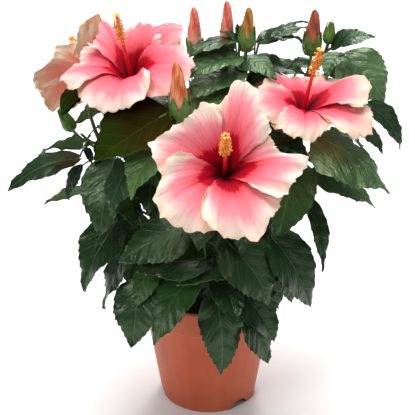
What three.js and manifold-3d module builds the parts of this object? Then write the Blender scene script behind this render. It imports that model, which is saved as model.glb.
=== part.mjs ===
// A potted hibiscus in bloom: pot, soil, trunk, boughs, leafy shoots, four open blooms and seven buds.
// Millimetres, +Z up, with the origin at the centre of the pot's flat underside. Bearings are degrees
// round the pot from +X towards +Y, reach is the distance from its axis, and height is above its foot.
import * as THREE from 'three';
import { mergeVertices } from 'three/addons/utils/BufferGeometryUtils.js';
import Module from 'manifold-3d';

const wasm = await Module();
wasm.setup();

// Clearance between neighbouring pieces
const GAP = 0.3;

// The pot is a 13 cm nursery pot: a tapered body, a deep stepped band at the rim, and three drain
// notches round a flat foot
const POT = { height: 122, rim: 65, band: 25, shoulder: 62.5, foot: 46.5, wall: 2.2, floor: 3 };
const BAND = { step: 1, lip: 1.5, ledge: 0.5 };
const POT_SIDES = 28;
const CUTTER_SIDES = 12;
const NOTCH = { count: 3, width: 20, inset: 7, height: 9, firstBearing: -50 };
const SOIL = { edge: 105, crown: 108, crownRadius: 18 };

// The trunk runs from a flat cut on the soil, through its flare, to the fork
const TRUNK = {
  flare: 11, flareHeight: 12, girth: 6.4, tip: 4.6, top: 168, leanX: 3, leanY: 2, sides: 8, steps: 9,
};
// A shoot swings out low and then turns up: shares of its reach and rise at its two inner handles
const SWEEP = { lowReach: 0.55, lowRise: 0.2, highReach: 0.92, highRise: 0.6 };
const BOUGH = { root: 3.5, entry: 2.9, sides: 5, steps: 4 };
const STEM = { tip: 1.5, sides: 4, steps: 4 };
const TWIG = {
  root: 1.9, tip: 1.2, sides: 3, steps: 2, length: 34, spread: 60, rise: 35,
  count: 2, firstAt: 0.25, spacing: 0.35, sag: 0.08,
};
const PETIOLE = { radius: 1.1, sides: 3, steps: 2, crest: 0.6, arch: 0.16, seat: 0.1, drop: 14 };

// A blade is a little over half as wide as it is long; its outline gives the half width at equal steps
const BLADE = { thickness: 0.9, width: 0.68, arch: 0.09, fold: 0.07 };
const BLADE_OUTLINE = [0.25, 1, 0.72, 0.04];

// Leaves that follow the shoot's own rule
const PHYLLOTAXIS = 144;

// Places along a limb where a stalk may leave it
const NODES = 12;
const FILL = {
  fan: 0.62, shortest: 46, longest: 70, petiole: 26, rise: 30, hangLow: 62, hangHigh: 26,
  swing: 30, nod: 16,
};

// Widest reach of the foliage that follows the rule, at rising heights
const CROWN_REACH = [[90, 62], [140, 92], [190, 118], [250, 150], [300, 158], [330, 110]];

// Small turns tried when a leaf would touch its neighbours: extra hang, swing and roll in degrees
const NUDGES = [
  [0, 0, 0], [8, 0, 0], [-8, 0, 0], [0, 10, 0], [0, -10, 0], [0, 0, 12], [0, 0, -12],
  [14, 12, 0], [14, -12, 0], [-14, 12, 0], [-14, -12, 0], [22, 0, 0], [0, 20, 10], [0, -20, -10],
  [-22, 0, 0], [10, 30, 0], [10, -30, 0], [-10, 30, 0], [-10, -30, 0],
];

// Open blooms, each with the place of its throat, the bearing and climb of its axis, the length of
// its petals and of its column, how far its first petal is turned, the depth of its throat and how
// much its petals curl back
const BLOOMS = [
  {
    name: 'bloom_front', shoot: 'front', throat: [13, -118, 290], bearing: 270, climb: 47,
    petal: 67, column: 58, turn: 68, funnel: 34, curl: 0.06,
  },
  {
    name: 'bloom_left', shoot: 'left_front', throat: [-69, -12, 340], bearing: 243, climb: 70,
    petal: 59, column: 46, turn: 67, funnel: 13, curl: 0.16,
  },
  {
    name: 'bloom_right', shoot: 'right', throat: [84, -25, 315], bearing: 313, climb: 78,
    petal: 62, column: 46, turn: 35, funnel: 6, curl: 0.1,
  },
  {
    name: 'bloom_far_left', shoot: 'left', throat: [-102, 42, 318], bearing: 134, climb: 16,
    petal: 53, column: 44, turn: 20, funnel: 20, curl: 0.05,
  },
];
const PETAL = { thickness: 1, across: 2, along: 4, twist: 5, claw: 0.03, round: 0.1, flare: 2.2 };
const PETALS = 5;
const PETAL_OUTLINE = [0.1, 0.3, 0.46, 0.5, 0.26];
const COLUMN = {
  root: 2.4, tip: 1.3, sunk: 2, anthers: 5.2, cloud: 0.24, cloudAt: 0.76, stigma: 3.2, bow: 0.1,
};
const CALYX = { depth: 24, girth: 8.5, sides: 6 };
const CALYX_PROFILE = [[0, 0], [0.9, 0.35], [1, 0.8], [0.7, 1.1], [0, 1.1]];
const STALK = { radius: 1.5, sides: 4, steps: 3, drop: 24, spacing: 10, sunk: 2, bend: 0.35 };

// Buds grow on from the shoots: place of the foot of the calyx, place of the tip, and girth
const BUDS = [
  { shoot: 'front', foot: [-23, -66, 314], tip: [-27, -72, 368], girth: 17 },
  { shoot: 'top', foot: [-12, 13, 345], tip: [-13, 12, 389], girth: 14 },
  { shoot: 'top', foot: [17, 20, 342], tip: [16, 20, 392], girth: 14 },
  { shoot: 'top', foot: [33, 8, 350], tip: [35, 8, 390], girth: 14 },
  { shoot: 'right_top', foot: [94, 44, 334], tip: [96, 44, 377], girth: 16 },
  { shoot: 'right_top', foot: [110, 54, 342], tip: [112, 54, 363], girth: 10 },
  { shoot: 'left', foot: [-124, 8, 275], tip: [-134, 0, 299], girth: 11 },
];
const BUD_SIDES = 6;
const BUD_PROFILE = [[0, 0], [0.6, 0.05], [1, 0.3], [0.86, 0.62], [0.5, 0.88], [0, 1]];

// Shoots in the order they were grown: where each leaves the trunk, its bearing, reach and top, the
// share of its length that is bare bough, the number of its leaves that follow the rule, and the
// leaves with a place of their own, each given by the foot of its blade, where it points, how far it
// hangs and its length
const SHOOTS = [
  {
    name: 'left', forksAt: 162, bearing: 178, reach: 108, top: 298, entry: 0.5, fill: 1,
    leaves: [
      { bearing: 189, reach: 119, height: 258, points: 189, hang: 22, length: 70, arch: 0.14 },
      { bearing: 192, reach: 117, height: 270, points: 221, hang: -12, length: 42, roll: 40 },
      { bearing: 184, reach: 116, height: 246, points: 215, hang: 62, length: 34 },
      { bearing: 170, reach: 119, height: 211, points: 173, hang: 21, length: 46, roll: 50 },
      { bearing: 185, reach: 110, height: 320, points: 227, hang: 25, length: 30 },
    ],
  },
  {
    name: 'left_front', forksAt: 153, bearing: 222, reach: 60, top: 294, entry: 0.5, fill: 1,
    leaves: [
      {
        bearing: 238, reach: 68, height: 317, points: 212, hang: 22,
        length: 74, arch: 0.05, roll: -18, width: 0.8,
      },
      { bearing: 211, reach: 96, height: 270, points: 250, hang: 57, length: 68 },
      { bearing: 230, reach: 104, height: 280, points: 233, hang: 51, length: 46 },
      { bearing: 242, reach: 86, height: 300, points: 231, hang: 42, length: 56 },
      { bearing: 201, reach: 83, height: 291, points: 227, hang: 36, length: 40 },
    ],
  },
  {
    name: 'left_low', forksAt: 136, bearing: 212, reach: 62, top: 212, entry: 0.36, fill: 2,
    leaves: [
      { bearing: 206, reach: 90, height: 237, points: 310, hang: 45, length: 38 },
      { bearing: 208, reach: 92, height: 208, points: 225, hang: 48, length: 70 },
      { bearing: 212, reach: 84, height: 183, points: 212, hang: 63, length: 64, width: 0.45 },
      { bearing: 216, reach: 77, height: 175, points: 146, hang: 68, length: 38 },
      { bearing: 223, reach: 86, height: 154, points: 249, hang: 69, length: 62 },
      { bearing: 230, reach: 78, height: 176, points: 226, hang: 66, length: 44 },
    ],
  },
  {
    name: 'front', forksAt: 145, bearing: 271, reach: 66, top: 260, entry: 0.36, fill: 2,
    leaves: [
      { bearing: 258, reach: 97, height: 228, points: 196, hang: 22, length: 64, roll: -30 },
      { bearing: 268, reach: 95, height: 198, points: 190, hang: 8, length: 60, roll: -25 },
      { bearing: 263, reach: 88, height: 183, points: 208, hang: 57, length: 78 },
      { bearing: 278, reach: 87, height: 186, points: 206, hang: 16, length: 50 },
      { bearing: 280, reach: 98, height: 214, points: 337, hang: 53, length: 66, roll: 25, width: 0.8 },
      { bearing: 274, reach: 80, height: 154, points: 290, hang: 78, length: 79, width: 0.5 },
      { bearing: 279, reach: 72, height: 167, points: 293, hang: 44, length: 46 },
      { bearing: 283, reach: 94, height: 236, points: 285, hang: 74, length: 36, width: 0.4 },
    ],
  },
  {
    name: 'front_right', forksAt: 133, bearing: 306, reach: 62, top: 224, entry: 0.36, fill: 2,
    leaves: [
      { bearing: 291, reach: 76, height: 155, points: 336, hang: 52, length: 60, roll: 20 },
      { bearing: 295, reach: 78, height: 127, points: 344, hang: 66, length: 54, roll: 20 },
      { bearing: 306, reach: 75, height: 146, points: 347, hang: 55, length: 44 },
      { bearing: 306, reach: 94, height: 209, points: 352, hang: 60, length: 76, roll: 25 },
      { bearing: 322, reach: 82, height: 172, points: 316, hang: 66, length: 42 },
    ],
  },
  {
    name: 'right', forksAt: 143, bearing: 343, reach: 82, top: 280, entry: 0.5, fill: 1,
    leaves: [
      { bearing: 322, reach: 98, height: 270, points: 240, hang: 57, length: 66 },
      { bearing: 341, reach: 96, height: 223, points: 326, hang: 65, length: 66, width: 0.36 },
      { bearing: 332, reach: 106, height: 292, points: 338, hang: 38, length: 80, roll: 22, width: 0.74 },
      { bearing: 348, reach: 97, height: 246, points: 0, hang: 28, length: 66, roll: 15 },
      { bearing: 329, reach: 98, height: 291, points: 198, hang: -20, length: 40 },
    ],
  },
  {
    name: 'right_top', forksAt: 154, bearing: 24, reach: 98, top: 318, entry: 0.52, fill: 0,
    leaves: [
      { bearing: 25, reach: 141, height: 328, points: 335, hang: 45, length: 58, roll: 34, width: 0.9 },
      { bearing: 4, reach: 145, height: 299, points: 352, hang: 46, length: 54, roll: 30 },
      { bearing: 351, reach: 134, height: 292, points: 333, hang: 45, length: 34 },
      { bearing: 33, reach: 129, height: 328, points: 334, hang: 55, length: 42 },
      { bearing: 22, reach: 130, height: 343, points: 0, hang: -14, length: 33, roll: 20, width: 0.85 },
      { bearing: 40, reach: 128, height: 315, points: 195, hang: 10, length: 30, width: 0.9 },
    ],
  },
  {
    name: 'top', forksAt: 167, bearing: 20, reach: 28, top: 334, entry: 0.5, fill: 2,
    leaves: [
      { bearing: 42, reach: 62, height: 347, points: 8, hang: -12, length: 52, width: 0.6 },
      { bearing: 52, reach: 72, height: 323, points: 13, hang: 0, length: 32, width: 0.9 },
      { bearing: 42, reach: 50, height: 333, points: 22, hang: 21, length: 58 },
      { bearing: 18, reach: 24, height: 361, points: 213, hang: 0, length: 50 },
      { bearing: 0, reach: 26, height: 348, points: 213, hang: 2, length: 54, roll: -20 },
      { bearing: 354, reach: 28, height: 337, points: 216, hang: 9, length: 58 },
      { bearing: 340, reach: 25, height: 328, points: 224, hang: 13, length: 46 },
    ],
  },
  { name: 'back_left', forksAt: 148, bearing: 130, reach: 92, top: 284, entry: 0.46, fill: 13, leaves: [] },
  { name: 'back', forksAt: 160, bearing: 90, reach: 86, top: 294, entry: 0.46, fill: 13, leaves: [] },
  { name: 'back_right', forksAt: 138, bearing: 48, reach: 94, top: 278, entry: 0.46, fill: 13, leaves: [] },
  {
    name: 'low_back_left', forksAt: 128, bearing: 158, reach: 62,
    top: 206, entry: 0.36, fill: 11, leaves: [],
  },
  { name: 'low_back', forksAt: 134, bearing: 100, reach: 64, top: 214, entry: 0.36, fill: 11, leaves: [] },
  {
    name: 'low_back_right', forksAt: 126, bearing: 32, reach: 62,
    top: 202, entry: 0.36, fill: 11, leaves: [],
  },
];

const paint = {
  clay: new THREE.MeshStandardMaterial({ color: 0xb06048, roughness: 0.5, metalness: 0 }),
  soil: new THREE.MeshStandardMaterial({ color: 0x2a211c, roughness: 0.95, metalness: 0 }),
  bark: new THREE.MeshStandardMaterial({ color: 0x77674f, roughness: 0.8, metalness: 0 }),
  leaf: new THREE.MeshStandardMaterial({ color: 0x2c5034, roughness: 0.35, metalness: 0 }),
  petal: new THREE.MeshStandardMaterial({ color: 0xee7b8c, roughness: 0.6, metalness: 0 }),
};

function seededRandom(seed) {
  let state = seed;
  return () => {
    state = (Math.imul(state, 1664525) + 1013904223) >>> 0;
    return state / 4294967296;
  };
}

// Unit vector with the given bearing and climb in degrees
function heading(bearing, climb) {
  const turn = THREE.MathUtils.degToRad(bearing);
  const lift = THREE.MathUtils.degToRad(climb);
  return new THREE.Vector3(
    Math.cos(turn) * Math.cos(lift),
    Math.sin(turn) * Math.cos(lift),
    Math.sin(lift),
  );
}

function place(bearing, reach, height) {
  return heading(bearing, 0).multiplyScalar(reach).setZ(height);
}

// Value at share t of a list of values at equal steps
function stepped(values, t) {
  const at = THREE.MathUtils.clamp(t, 0, 1) * (values.length - 1);
  const low = Math.min(Math.floor(at), values.length - 2);
  return THREE.MathUtils.lerp(values[low], values[low + 1], at - low);
}

function crownReach(height) {
  const first = CROWN_REACH[0];
  const last = CROWN_REACH[CROWN_REACH.length - 1];
  if (height <= first[0]) return first[1];
  if (height >= last[0]) return last[1];
  const above = CROWN_REACH.findIndex(([level]) => level > height);
  const [lowLevel, lowReach] = CROWN_REACH[above - 1];
  const [highLevel, highReach] = CROWN_REACH[above];
  return THREE.MathUtils.mapLinear(height, lowLevel, highLevel, lowReach, highReach);
}

function warp(geometry, move) {
  const position = geometry.attributes.position;
  const point = new THREE.Vector3();
  for (let i = 0; i < position.count; i += 1) {
    point.fromBufferAttribute(position, i);
    move(point);
    position.setXYZ(i, point.x, point.y, point.z);
  }
  return geometry;
}

function solidOf(geometry) {
  geometry.deleteAttribute('normal');
  geometry.deleteAttribute('uv');
  const merged = mergeVertices(geometry, 1e-4);
  return new wasm.Manifold(new wasm.Mesh({
    numProp: 3,
    vertProperties: merged.attributes.position.array,
    triVerts: Uint32Array.from(merged.index.array),
  }));
}

function geometryOf(solid) {
  const mesh = solid.getMesh();
  const geometry = new THREE.BufferGeometry();
  geometry.setAttribute('position', new THREE.BufferAttribute(mesh.vertProperties, 3));
  geometry.setIndex(new THREE.BufferAttribute(mesh.triVerts, 1));
  geometry.computeVertexNormals();
  return geometry;
}

// One body: the largest piece, without loose scraps or sealed hollows
function wholeOf(solid) {
  const pieces = solid.decompose();
  return pieces.reduce((best, piece) => (piece.volume() > best.volume() ? piece : best));
}

function join(solids) {
  return solids.reduce((sum, solid) => sum.add(solid));
}

// A round limb along a curve, with its radius given by its share of the length
function limb(curve, radiusAt, sides, steps) {
  const frames = curve.computeFrenetFrames(steps, false);
  return warp(new THREE.CylinderGeometry(1, 1, 1, sides, steps), (point) => {
    const step = Math.round((point.y + 0.5) * steps);
    const radius = radiusAt(step / steps);
    const centre = curve.getPointAt(step / steps);
    const across = frames.binormals[step].clone().multiplyScalar(point.x * radius);
    const aside = frames.normals[step].clone().multiplyScalar(point.z * radius);
    point.copy(centre).add(across).add(aside);
  });
}

function taper(from, to) {
  return (share) => THREE.MathUtils.lerp(from, to, share);
}

// The stretch of a curve between two shares of its length
function stretch(curve, from, to, steps) {
  const points = [];
  for (let i = 0; i <= steps; i += 1) {
    points.push(curve.getPointAt(THREE.MathUtils.lerp(from, to, i / steps)));
  }
  return new THREE.CatmullRomCurve3(points);
}

function potSolid() {
  const { height, rim, band, shoulder, foot, wall, floor } = POT;
  const { step, lip, ledge } = BAND;
  const outline = [
    [0, 0], [foot, 0], [shoulder - step, height - band], [rim - step, height - band],
    [rim, height - band + lip], [rim, height - lip], [rim - lip / 2, height],
    [rim - wall, height], [rim - wall - ledge, height - band + wall],
    [shoulder - step - wall, height - band], [foot - wall, floor], [0, floor],
  ];
  const points = outline.map(([radius, level]) => new THREE.Vector2(radius, level));
  const shell = solidOf(new THREE.LatheGeometry(points, POT_SIDES).rotateX(Math.PI / 2));
  const cutters = [];
  for (let i = 0; i < NOTCH.count; i += 1) {
    const round = NOTCH.width / 2;
    const cutter = new THREE.CylinderGeometry(round, round, NOTCH.inset * 2, CUTTER_SIDES);
    cutter.scale(1, 1, NOTCH.height / round);
    cutter.translate(0, POT.foot, 0);
    cutter.rotateZ(THREE.MathUtils.degToRad(NOTCH.firstBearing - 90 + (360 / NOTCH.count) * i));
    cutters.push(solidOf(cutter));
  }
  return cutters.reduce((pot, cutter) => pot.subtract(cutter), shell);
}

function soilSolid() {
  const { height, rim, band, shoulder, foot, wall, floor } = POT;
  const low = floor + GAP + NOTCH.height;
  const innerAt = (level) => THREE.MathUtils.mapLinear(
    level, floor, height - band, foot - wall, shoulder - BAND.step - wall,
  );
  const outline = [
    [0, low], [innerAt(low) - 2 * GAP - NOTCH.inset / 2, low],
    [innerAt(height - band) - 2 * GAP, height - band], [rim - wall - 2 * GAP, SOIL.edge],
    [SOIL.crownRadius, SOIL.crown], [0, SOIL.crown],
  ];
  const points = outline.map(([radius, level]) => new THREE.Vector2(radius, level));
  return solidOf(new THREE.LatheGeometry(points, POT_SIDES).rotateX(Math.PI / 2));
}

function trunkCurve() {
  const foot = SOIL.crown + GAP;
  const middle = THREE.MathUtils.lerp(foot, TRUNK.top, 0.5);
  return new THREE.QuadraticBezierCurve3(
    new THREE.Vector3(0, 0, foot),
    new THREE.Vector3(0, 0, middle),
    new THREE.Vector3(TRUNK.leanX, TRUNK.leanY, TRUNK.top),
  );
}

function trunkSolid(curve, grown) {
  const length = curve.getLength();
  const radiusAt = (share) => {
    const rise = (share * length) / TRUNK.flareHeight;
    const flare = (TRUNK.flare - TRUNK.girth) * Math.max(0, 1 - rise) ** 2;
    return THREE.MathUtils.lerp(TRUNK.girth, TRUNK.tip, share) + flare + grown;
  };
  return solidOf(limb(curve, radiusAt, TRUNK.sides, TRUNK.steps));
}

// The whole line of a shoot, out of the trunk, up its bough and through its foliage
function shootCurve(shoot, trunk) {
  const share = (shoot.forksAt - SOIL.crown) / (TRUNK.top - SOIL.crown);
  const root = trunk.getPointAt(share);
  const rise = shoot.top - shoot.forksAt;
  return new THREE.CubicBezierCurve3(
    root,
    place(shoot.bearing, shoot.reach * SWEEP.lowReach, shoot.forksAt + rise * SWEEP.lowRise),
    place(shoot.bearing, shoot.reach * SWEEP.highReach, shoot.forksAt + rise * SWEEP.highRise),
    place(shoot.bearing, shoot.reach, shoot.top),
  );
}

function bladeFrame(leaf) {
  const along = heading(leaf.points, -leaf.hang);
  const upper = heading(leaf.points, 90 - leaf.hang);
  upper.applyAxisAngle(along, THREE.MathUtils.degToRad(leaf.roll));
  const across = new THREE.Vector3().crossVectors(upper, along);
  return new THREE.Matrix4().makeBasis(along, across, upper).setPosition(leaf.foot);
}

// A blade in its own frame: along +X from its foot, with its upper face towards +Z
function bladePoint(leaf, along, across, up) {
  const halfWidth = stepped(BLADE_OUTLINE, along) * leaf.length * leaf.width * 0.5;
  const arch = leaf.arch * leaf.length * 4 * along * (1 - along);
  const fold = BLADE.fold * halfWidth * Math.abs(across);
  return new THREE.Vector3(along * leaf.length, across * halfWidth, arch + fold + up);
}

function bladeSolid(leaf) {
  const geometry = new THREE.BoxGeometry(1, 1, 1, BLADE_OUTLINE.length - 1, 2, 1);
  warp(geometry, (point) => {
    point.copy(bladePoint(leaf, point.x + 0.5, point.y * 2, point.z * BLADE.thickness));
  });
  return solidOf(geometry.applyMatrix4(bladeFrame(leaf)));
}

// The point nearest to the aim on any of the lines, short of their tips
function nearestPoint(lines, aim) {
  const candidates = lines.flatMap((line) => line.getPoints(NODES).slice(1, -1));
  return candidates.reduce((best, point) => (point.distanceTo(aim) < best.distanceTo(aim) ? point : best));
}

// A petiole leaves the nearest limb a little below the blade and arches out to it
function petioleSolid(leaf, limbs) {
  const root = nearestPoint(limbs, leaf.foot.clone().setZ(leaf.foot.z - PETIOLE.drop));
  const seat = bladePoint(leaf, PETIOLE.seat, 0, 0).applyMatrix4(bladeFrame(leaf));
  const crest = root.clone().lerp(leaf.foot, PETIOLE.crest);
  crest.z += PETIOLE.arch * root.distanceTo(leaf.foot);
  const curve = new THREE.CatmullRomCurve3([root, crest, leaf.foot, seat]);
  return solidOf(limb(curve, () => PETIOLE.radius, PETIOLE.sides, PETIOLE.steps));
}

// Petals run from the throat out along their own bearing, each with one edge over the next petal
function petalSolid(bloom, turn) {
  const geometry = new THREE.BoxGeometry(1, 1, 1, PETAL.across, PETAL.along, 1);
  warp(geometry, (point) => {
    const along = point.y + 0.5;
    const across = point.x * 2;
    const halfWidth = stepped(PETAL_OUTLINE, along) * bloom.petal;
    const reach = bloom.petal * (PETAL.claw + along) * (1 - PETAL.round * across ** 2 * along);
    const funnel = bloom.funnel * (1 - (1 - along) ** PETAL.flare);
    const curl = -bloom.curl * bloom.petal * along ** 4;
    const twist = PETAL.twist * across * (0.3 + 0.7 * along);
    const height = funnel + curl + twist + point.z * PETAL.thickness;
    point.set(across * halfWidth, reach, height);
  });
  return solidOf(geometry.rotateZ(THREE.MathUtils.degToRad(turn - 90)));
}

function lathed(profile, girth, length, sides) {
  const points = profile.map(([radius, level]) => new THREE.Vector2(radius * girth, level * length));
  return new THREE.LatheGeometry(points, sides).rotateX(Math.PI / 2);
}

function bloomFrame(bloom) {
  const axis = heading(bloom.bearing, bloom.climb);
  const side = heading(bloom.bearing + 90, 0);
  const up = new THREE.Vector3().crossVectors(axis, side);
  return new THREE.Matrix4().makeBasis(side, up, axis).setPosition(new THREE.Vector3(...bloom.throat));
}

// In the bloom's own frame +Z is its axis and +Y is the side that faces the sky
function columnParts(bloom) {
  const tip = new THREE.Vector3(0, COLUMN.bow * bloom.column, bloom.column);
  const curve = new THREE.QuadraticBezierCurve3(
    new THREE.Vector3(0, 0, -COLUMN.sunk), new THREE.Vector3(0, 0, bloom.column * 0.5), tip,
  );
  const rod = solidOf(limb(curve, taper(COLUMN.root, COLUMN.tip), 5, 3));
  const cloud = new THREE.SphereGeometry(COLUMN.anthers, 6, 4);
  cloud.scale(1, 1, (COLUMN.cloud * bloom.column) / COLUMN.anthers);
  const heart = curve.getPointAt(COLUMN.cloudAt);
  cloud.translate(heart.x, heart.y, heart.z);
  const stigma = new THREE.SphereGeometry(COLUMN.stigma, 5, 3);
  stigma.translate(tip.x, tip.y, tip.z);
  return [rod, solidOf(cloud), solidOf(stigma)];
}

// A flower stalk rises from the shoot into the calyx
function stalkSolid(root, foot, axis) {
  const shoulder = foot.clone().addScaledVector(axis, -root.distanceTo(foot) * STALK.bend);
  const curve = new THREE.CubicBezierCurve3(root, root.clone().lerp(shoulder, 0.5), shoulder, foot);
  return solidOf(limb(curve, () => STALK.radius, STALK.sides, STALK.steps));
}

function bloomSolid(bloom, stem, grownStem) {
  const frame = bloomFrame(bloom);
  const parts = columnParts(bloom);
  for (let i = 0; i < PETALS; i += 1) {
    parts.push(petalSolid(bloom, bloom.turn + (360 / PETALS) * i));
  }
  const cup = lathed(CALYX_PROFILE, CALYX.girth, CALYX.depth, CALYX.sides);
  parts.push(solidOf(cup.translate(0, 0, -CALYX.depth)));
  const axis = heading(bloom.bearing, bloom.climb);
  const foot = new THREE.Vector3(...bloom.throat).addScaledVector(axis, STALK.sunk - CALYX.depth);
  const flower = join(parts).transform(frame.elements);
  return wholeOf(flower.add(stalkSolid(stem.getPointAt(1), foot, axis)).subtract(grownStem));
}

function budSolid(bud, stem, rank) {
  const foot = new THREE.Vector3(...bud.foot);
  const axis = new THREE.Vector3(...bud.tip).sub(foot);
  const length = axis.length();
  axis.normalize();
  const body = lathed(BUD_PROFILE, bud.girth / 2, length, BUD_SIDES);
  body.applyQuaternion(new THREE.Quaternion().setFromUnitVectors(new THREE.Vector3(0, 0, 1), axis));
  body.translate(foot.x, foot.y, foot.z);
  const aim = foot.clone().addScaledVector(axis, -STALK.drop - STALK.spacing * rank);
  const seat = foot.addScaledVector(axis, STALK.sunk);
  return solidOf(body).add(stalkSolid(nearestPoint([stem], aim), seat, axis));
}

// What has been placed so far, each with the piece that it belongs to
const placed = [];

function remember(solid, owner) {
  placed.push({ solid, owner, box: solid.boundingBox() });
}

function boxesMeet(a, b) {
  return [0, 1, 2].every((i) => a.min[i] - GAP < b.max[i] && b.min[i] - GAP < a.max[i]);
}

function touches(solid, ignore) {
  const box = solid.boundingBox();
  return placed.some((other) => !ignore(other)
    && boxesMeet(box, other.box)
    && solid.minGap(other.solid, GAP * 2) < GAP);
}

// The leaf in the first of its slightly turned poses that keeps clear of all that stands already
function settledLeaf(leaf, owner, limbs) {
  for (const [hang, swing, roll] of NUDGES) {
    const turned = {
      ...leaf, hang: leaf.hang + hang, points: leaf.points + swing, roll: leaf.roll + roll,
    };
    const blade = bladeSolid(turned);
    if (touches(blade, () => false)) continue;
    const petiole = petioleSolid(turned, limbs);
    if (touches(petiole, (other) => other.owner === owner)) continue;
    return { blade, petiole };
  }
  return null;
}

// Leaves that follow the rule turn round the shoot by a fixed angle and hang more the lower they are
function ruledLeaves(shoot, stem, random) {
  const leaves = [];
  for (let i = 0; i < shoot.fill; i += 1) {
    const share = (i + 0.5) / shoot.fill;
    const turn = ((PHYLLOTAXIS * i + FILL.swing * random()) % 360) - 180;
    const points = shoot.bearing + turn * FILL.fan;
    const length = THREE.MathUtils.lerp(FILL.shortest, FILL.longest, random());
    const nod = FILL.nod * (random() - 0.5);
    const hang = THREE.MathUtils.lerp(FILL.hangLow, FILL.hangHigh, share) + nod;
    const petiole = FILL.petiole * (0.8 + 0.5 * random());
    const foot = stem.getPointAt(share).addScaledVector(heading(points, FILL.rise), petiole);
    leaves.push({ foot, points, hang, length, width: BLADE.width, arch: BLADE.arch, roll: 0 });
  }
  return leaves.filter((leaf) => {
    const tip = leaf.foot.clone().addScaledVector(heading(leaf.points, -leaf.hang), leaf.length);
    return Math.hypot(tip.x, tip.y) < crownReach(tip.z);
  });
}

function shownLeaves(shoot) {
  return shoot.leaves.map(({ bearing, reach, height, ...pose }) => ({
    foot: place(bearing, reach, height), roll: 0, width: BLADE.width, arch: BLADE.arch, ...pose,
  }));
}

// Side twigs fan out from the stem by turns
function twigCurves(shoot, stem, random) {
  const curves = [];
  for (let i = 0; i < TWIG.count; i += 1) {
    const root = stem.getPointAt(TWIG.firstAt + TWIG.spacing * i);
    const side = i % 2 === 0 ? -1 : 1;
    const bearing = shoot.bearing + side * TWIG.spread * (0.7 + 0.6 * random());
    const length = TWIG.length * (0.7 + 0.5 * random());
    const tip = root.clone().addScaledVector(heading(bearing, TWIG.rise), length);
    const elbow = root.clone().lerp(tip, 0.5);
    elbow.z -= length * TWIG.sag;
    curves.push(new THREE.CatmullRomCurve3([root, elbow, tip]));
  }
  return curves;
}

const plant = new THREE.Group();

function addNode(name, solid, material) {
  const mesh = new THREE.Mesh(geometryOf(solid), material);
  mesh.name = name;
  plant.add(mesh);
}

function build() {
  const trunk = trunkCurve();
  const trunkBody = trunkSolid(trunk, 0);
  const grownTrunk = trunkSolid(trunk, GAP);
  addNode('pot', potSolid(), paint.clay);
  addNode('soil', soilSolid(), paint.soil);
  addNode('trunk', trunkBody, paint.bark);
  remember(potSolid(), 'pot');
  remember(soilSolid(), 'soil');
  remember(trunkBody, 'trunk');

  const masses = new Map();
  SHOOTS.forEach((shoot, index) => {
    const curve = shootCurve(shoot, trunk);
    const half = GAP / 2 / curve.getLength();
    const boughCurve = stretch(curve, 0, shoot.entry - half, BOUGH.steps);
    const stemCurve = stretch(curve, shoot.entry + half, 1, STEM.steps);
    const boughRadius = taper(BOUGH.root, BOUGH.entry);
    const boughBody = solidOf(limb(boughCurve, boughRadius, BOUGH.sides, BOUGH.steps));
    const bough = wholeOf(boughBody.subtract(grownTrunk));
    const stem = solidOf(limb(stemCurve, taper(BOUGH.entry, STEM.tip), STEM.sides, STEM.steps));
    const grownRadius = taper(BOUGH.entry + GAP, STEM.tip + GAP);
    const grownStem = solidOf(limb(stemCurve, grownRadius, STEM.sides, STEM.steps));
    addNode(`bough_${shoot.name}`, bough, paint.bark);
    remember(bough, `bough_${shoot.name}`);
    remember(stem, shoot.name);
    const random = seededRandom(1000 + index * 77);
    const mass = { shoot, random, stemCurve, grownStem, flowers: 0, limbs: [stemCurve], solids: [stem] };
    masses.set(shoot.name, mass);
  });

  for (const bloom of BLOOMS) {
    const mass = masses.get(bloom.shoot);
    const solid = bloomSolid(bloom, mass.stemCurve, mass.grownStem);
    mass.flowers += 1;
    addNode(bloom.name, solid, paint.petal);
    remember(solid, bloom.name);
  }
  for (const bud of BUDS) {
    const mass = masses.get(bud.shoot);
    const solid = budSolid(bud, mass.stemCurve, mass.flowers);
    mass.flowers += 1;
    mass.solids.push(solid);
    remember(solid, bud.shoot);
  }

  for (const mass of masses.values()) {
    for (const curve of twigCurves(mass.shoot, mass.stemCurve, mass.random)) {
      const twig = solidOf(limb(curve, taper(TWIG.root, TWIG.tip), TWIG.sides, TWIG.steps));
      if (touches(twig, (other) => other.owner === mass.shoot.name)) continue;
      remember(twig, mass.shoot.name);
      mass.limbs.push(curve);
      mass.solids.push(twig);
    }
  }

  const settle = (mass, leaves) => {
    for (const leaf of leaves) {
      const settled = settledLeaf(leaf, mass.shoot.name, mass.limbs);
      if (settled === null) continue;
      remember(settled.blade, mass.shoot.name);
      remember(settled.petiole, mass.shoot.name);
      mass.solids.push(settled.blade, settled.petiole);
    }
  };
  for (const mass of masses.values()) settle(mass, shownLeaves(mass.shoot));
  for (const mass of masses.values()) settle(mass, ruledLeaves(mass.shoot, mass.stemCurve, mass.random));
  for (const [name, mass] of masses) addNode(`foliage_${name}`, wholeOf(join(mass.solids)), paint.leaf);
}

build();

export default plant;
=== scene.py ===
"""Potted hibiscus in bloom: the looks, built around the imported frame.

Lengths in the tables are millimetres in the row's frame, as in the source of the solids. Bearings
are degrees round the pot from +X towards +Y, reach is the distance from its axis, and height is
above its foot. Meshes are made in metres.
"""

from __future__ import annotations

import logging
import math
from collections.abc import Callable, Sequence
from dataclasses import dataclass, field, replace
from enum import Enum
from functools import cache
from typing import Protocol

import bmesh
import bpy
import numpy as np
from mathutils import Matrix, Vector
from mathutils.bvhtree import BVHTree

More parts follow.
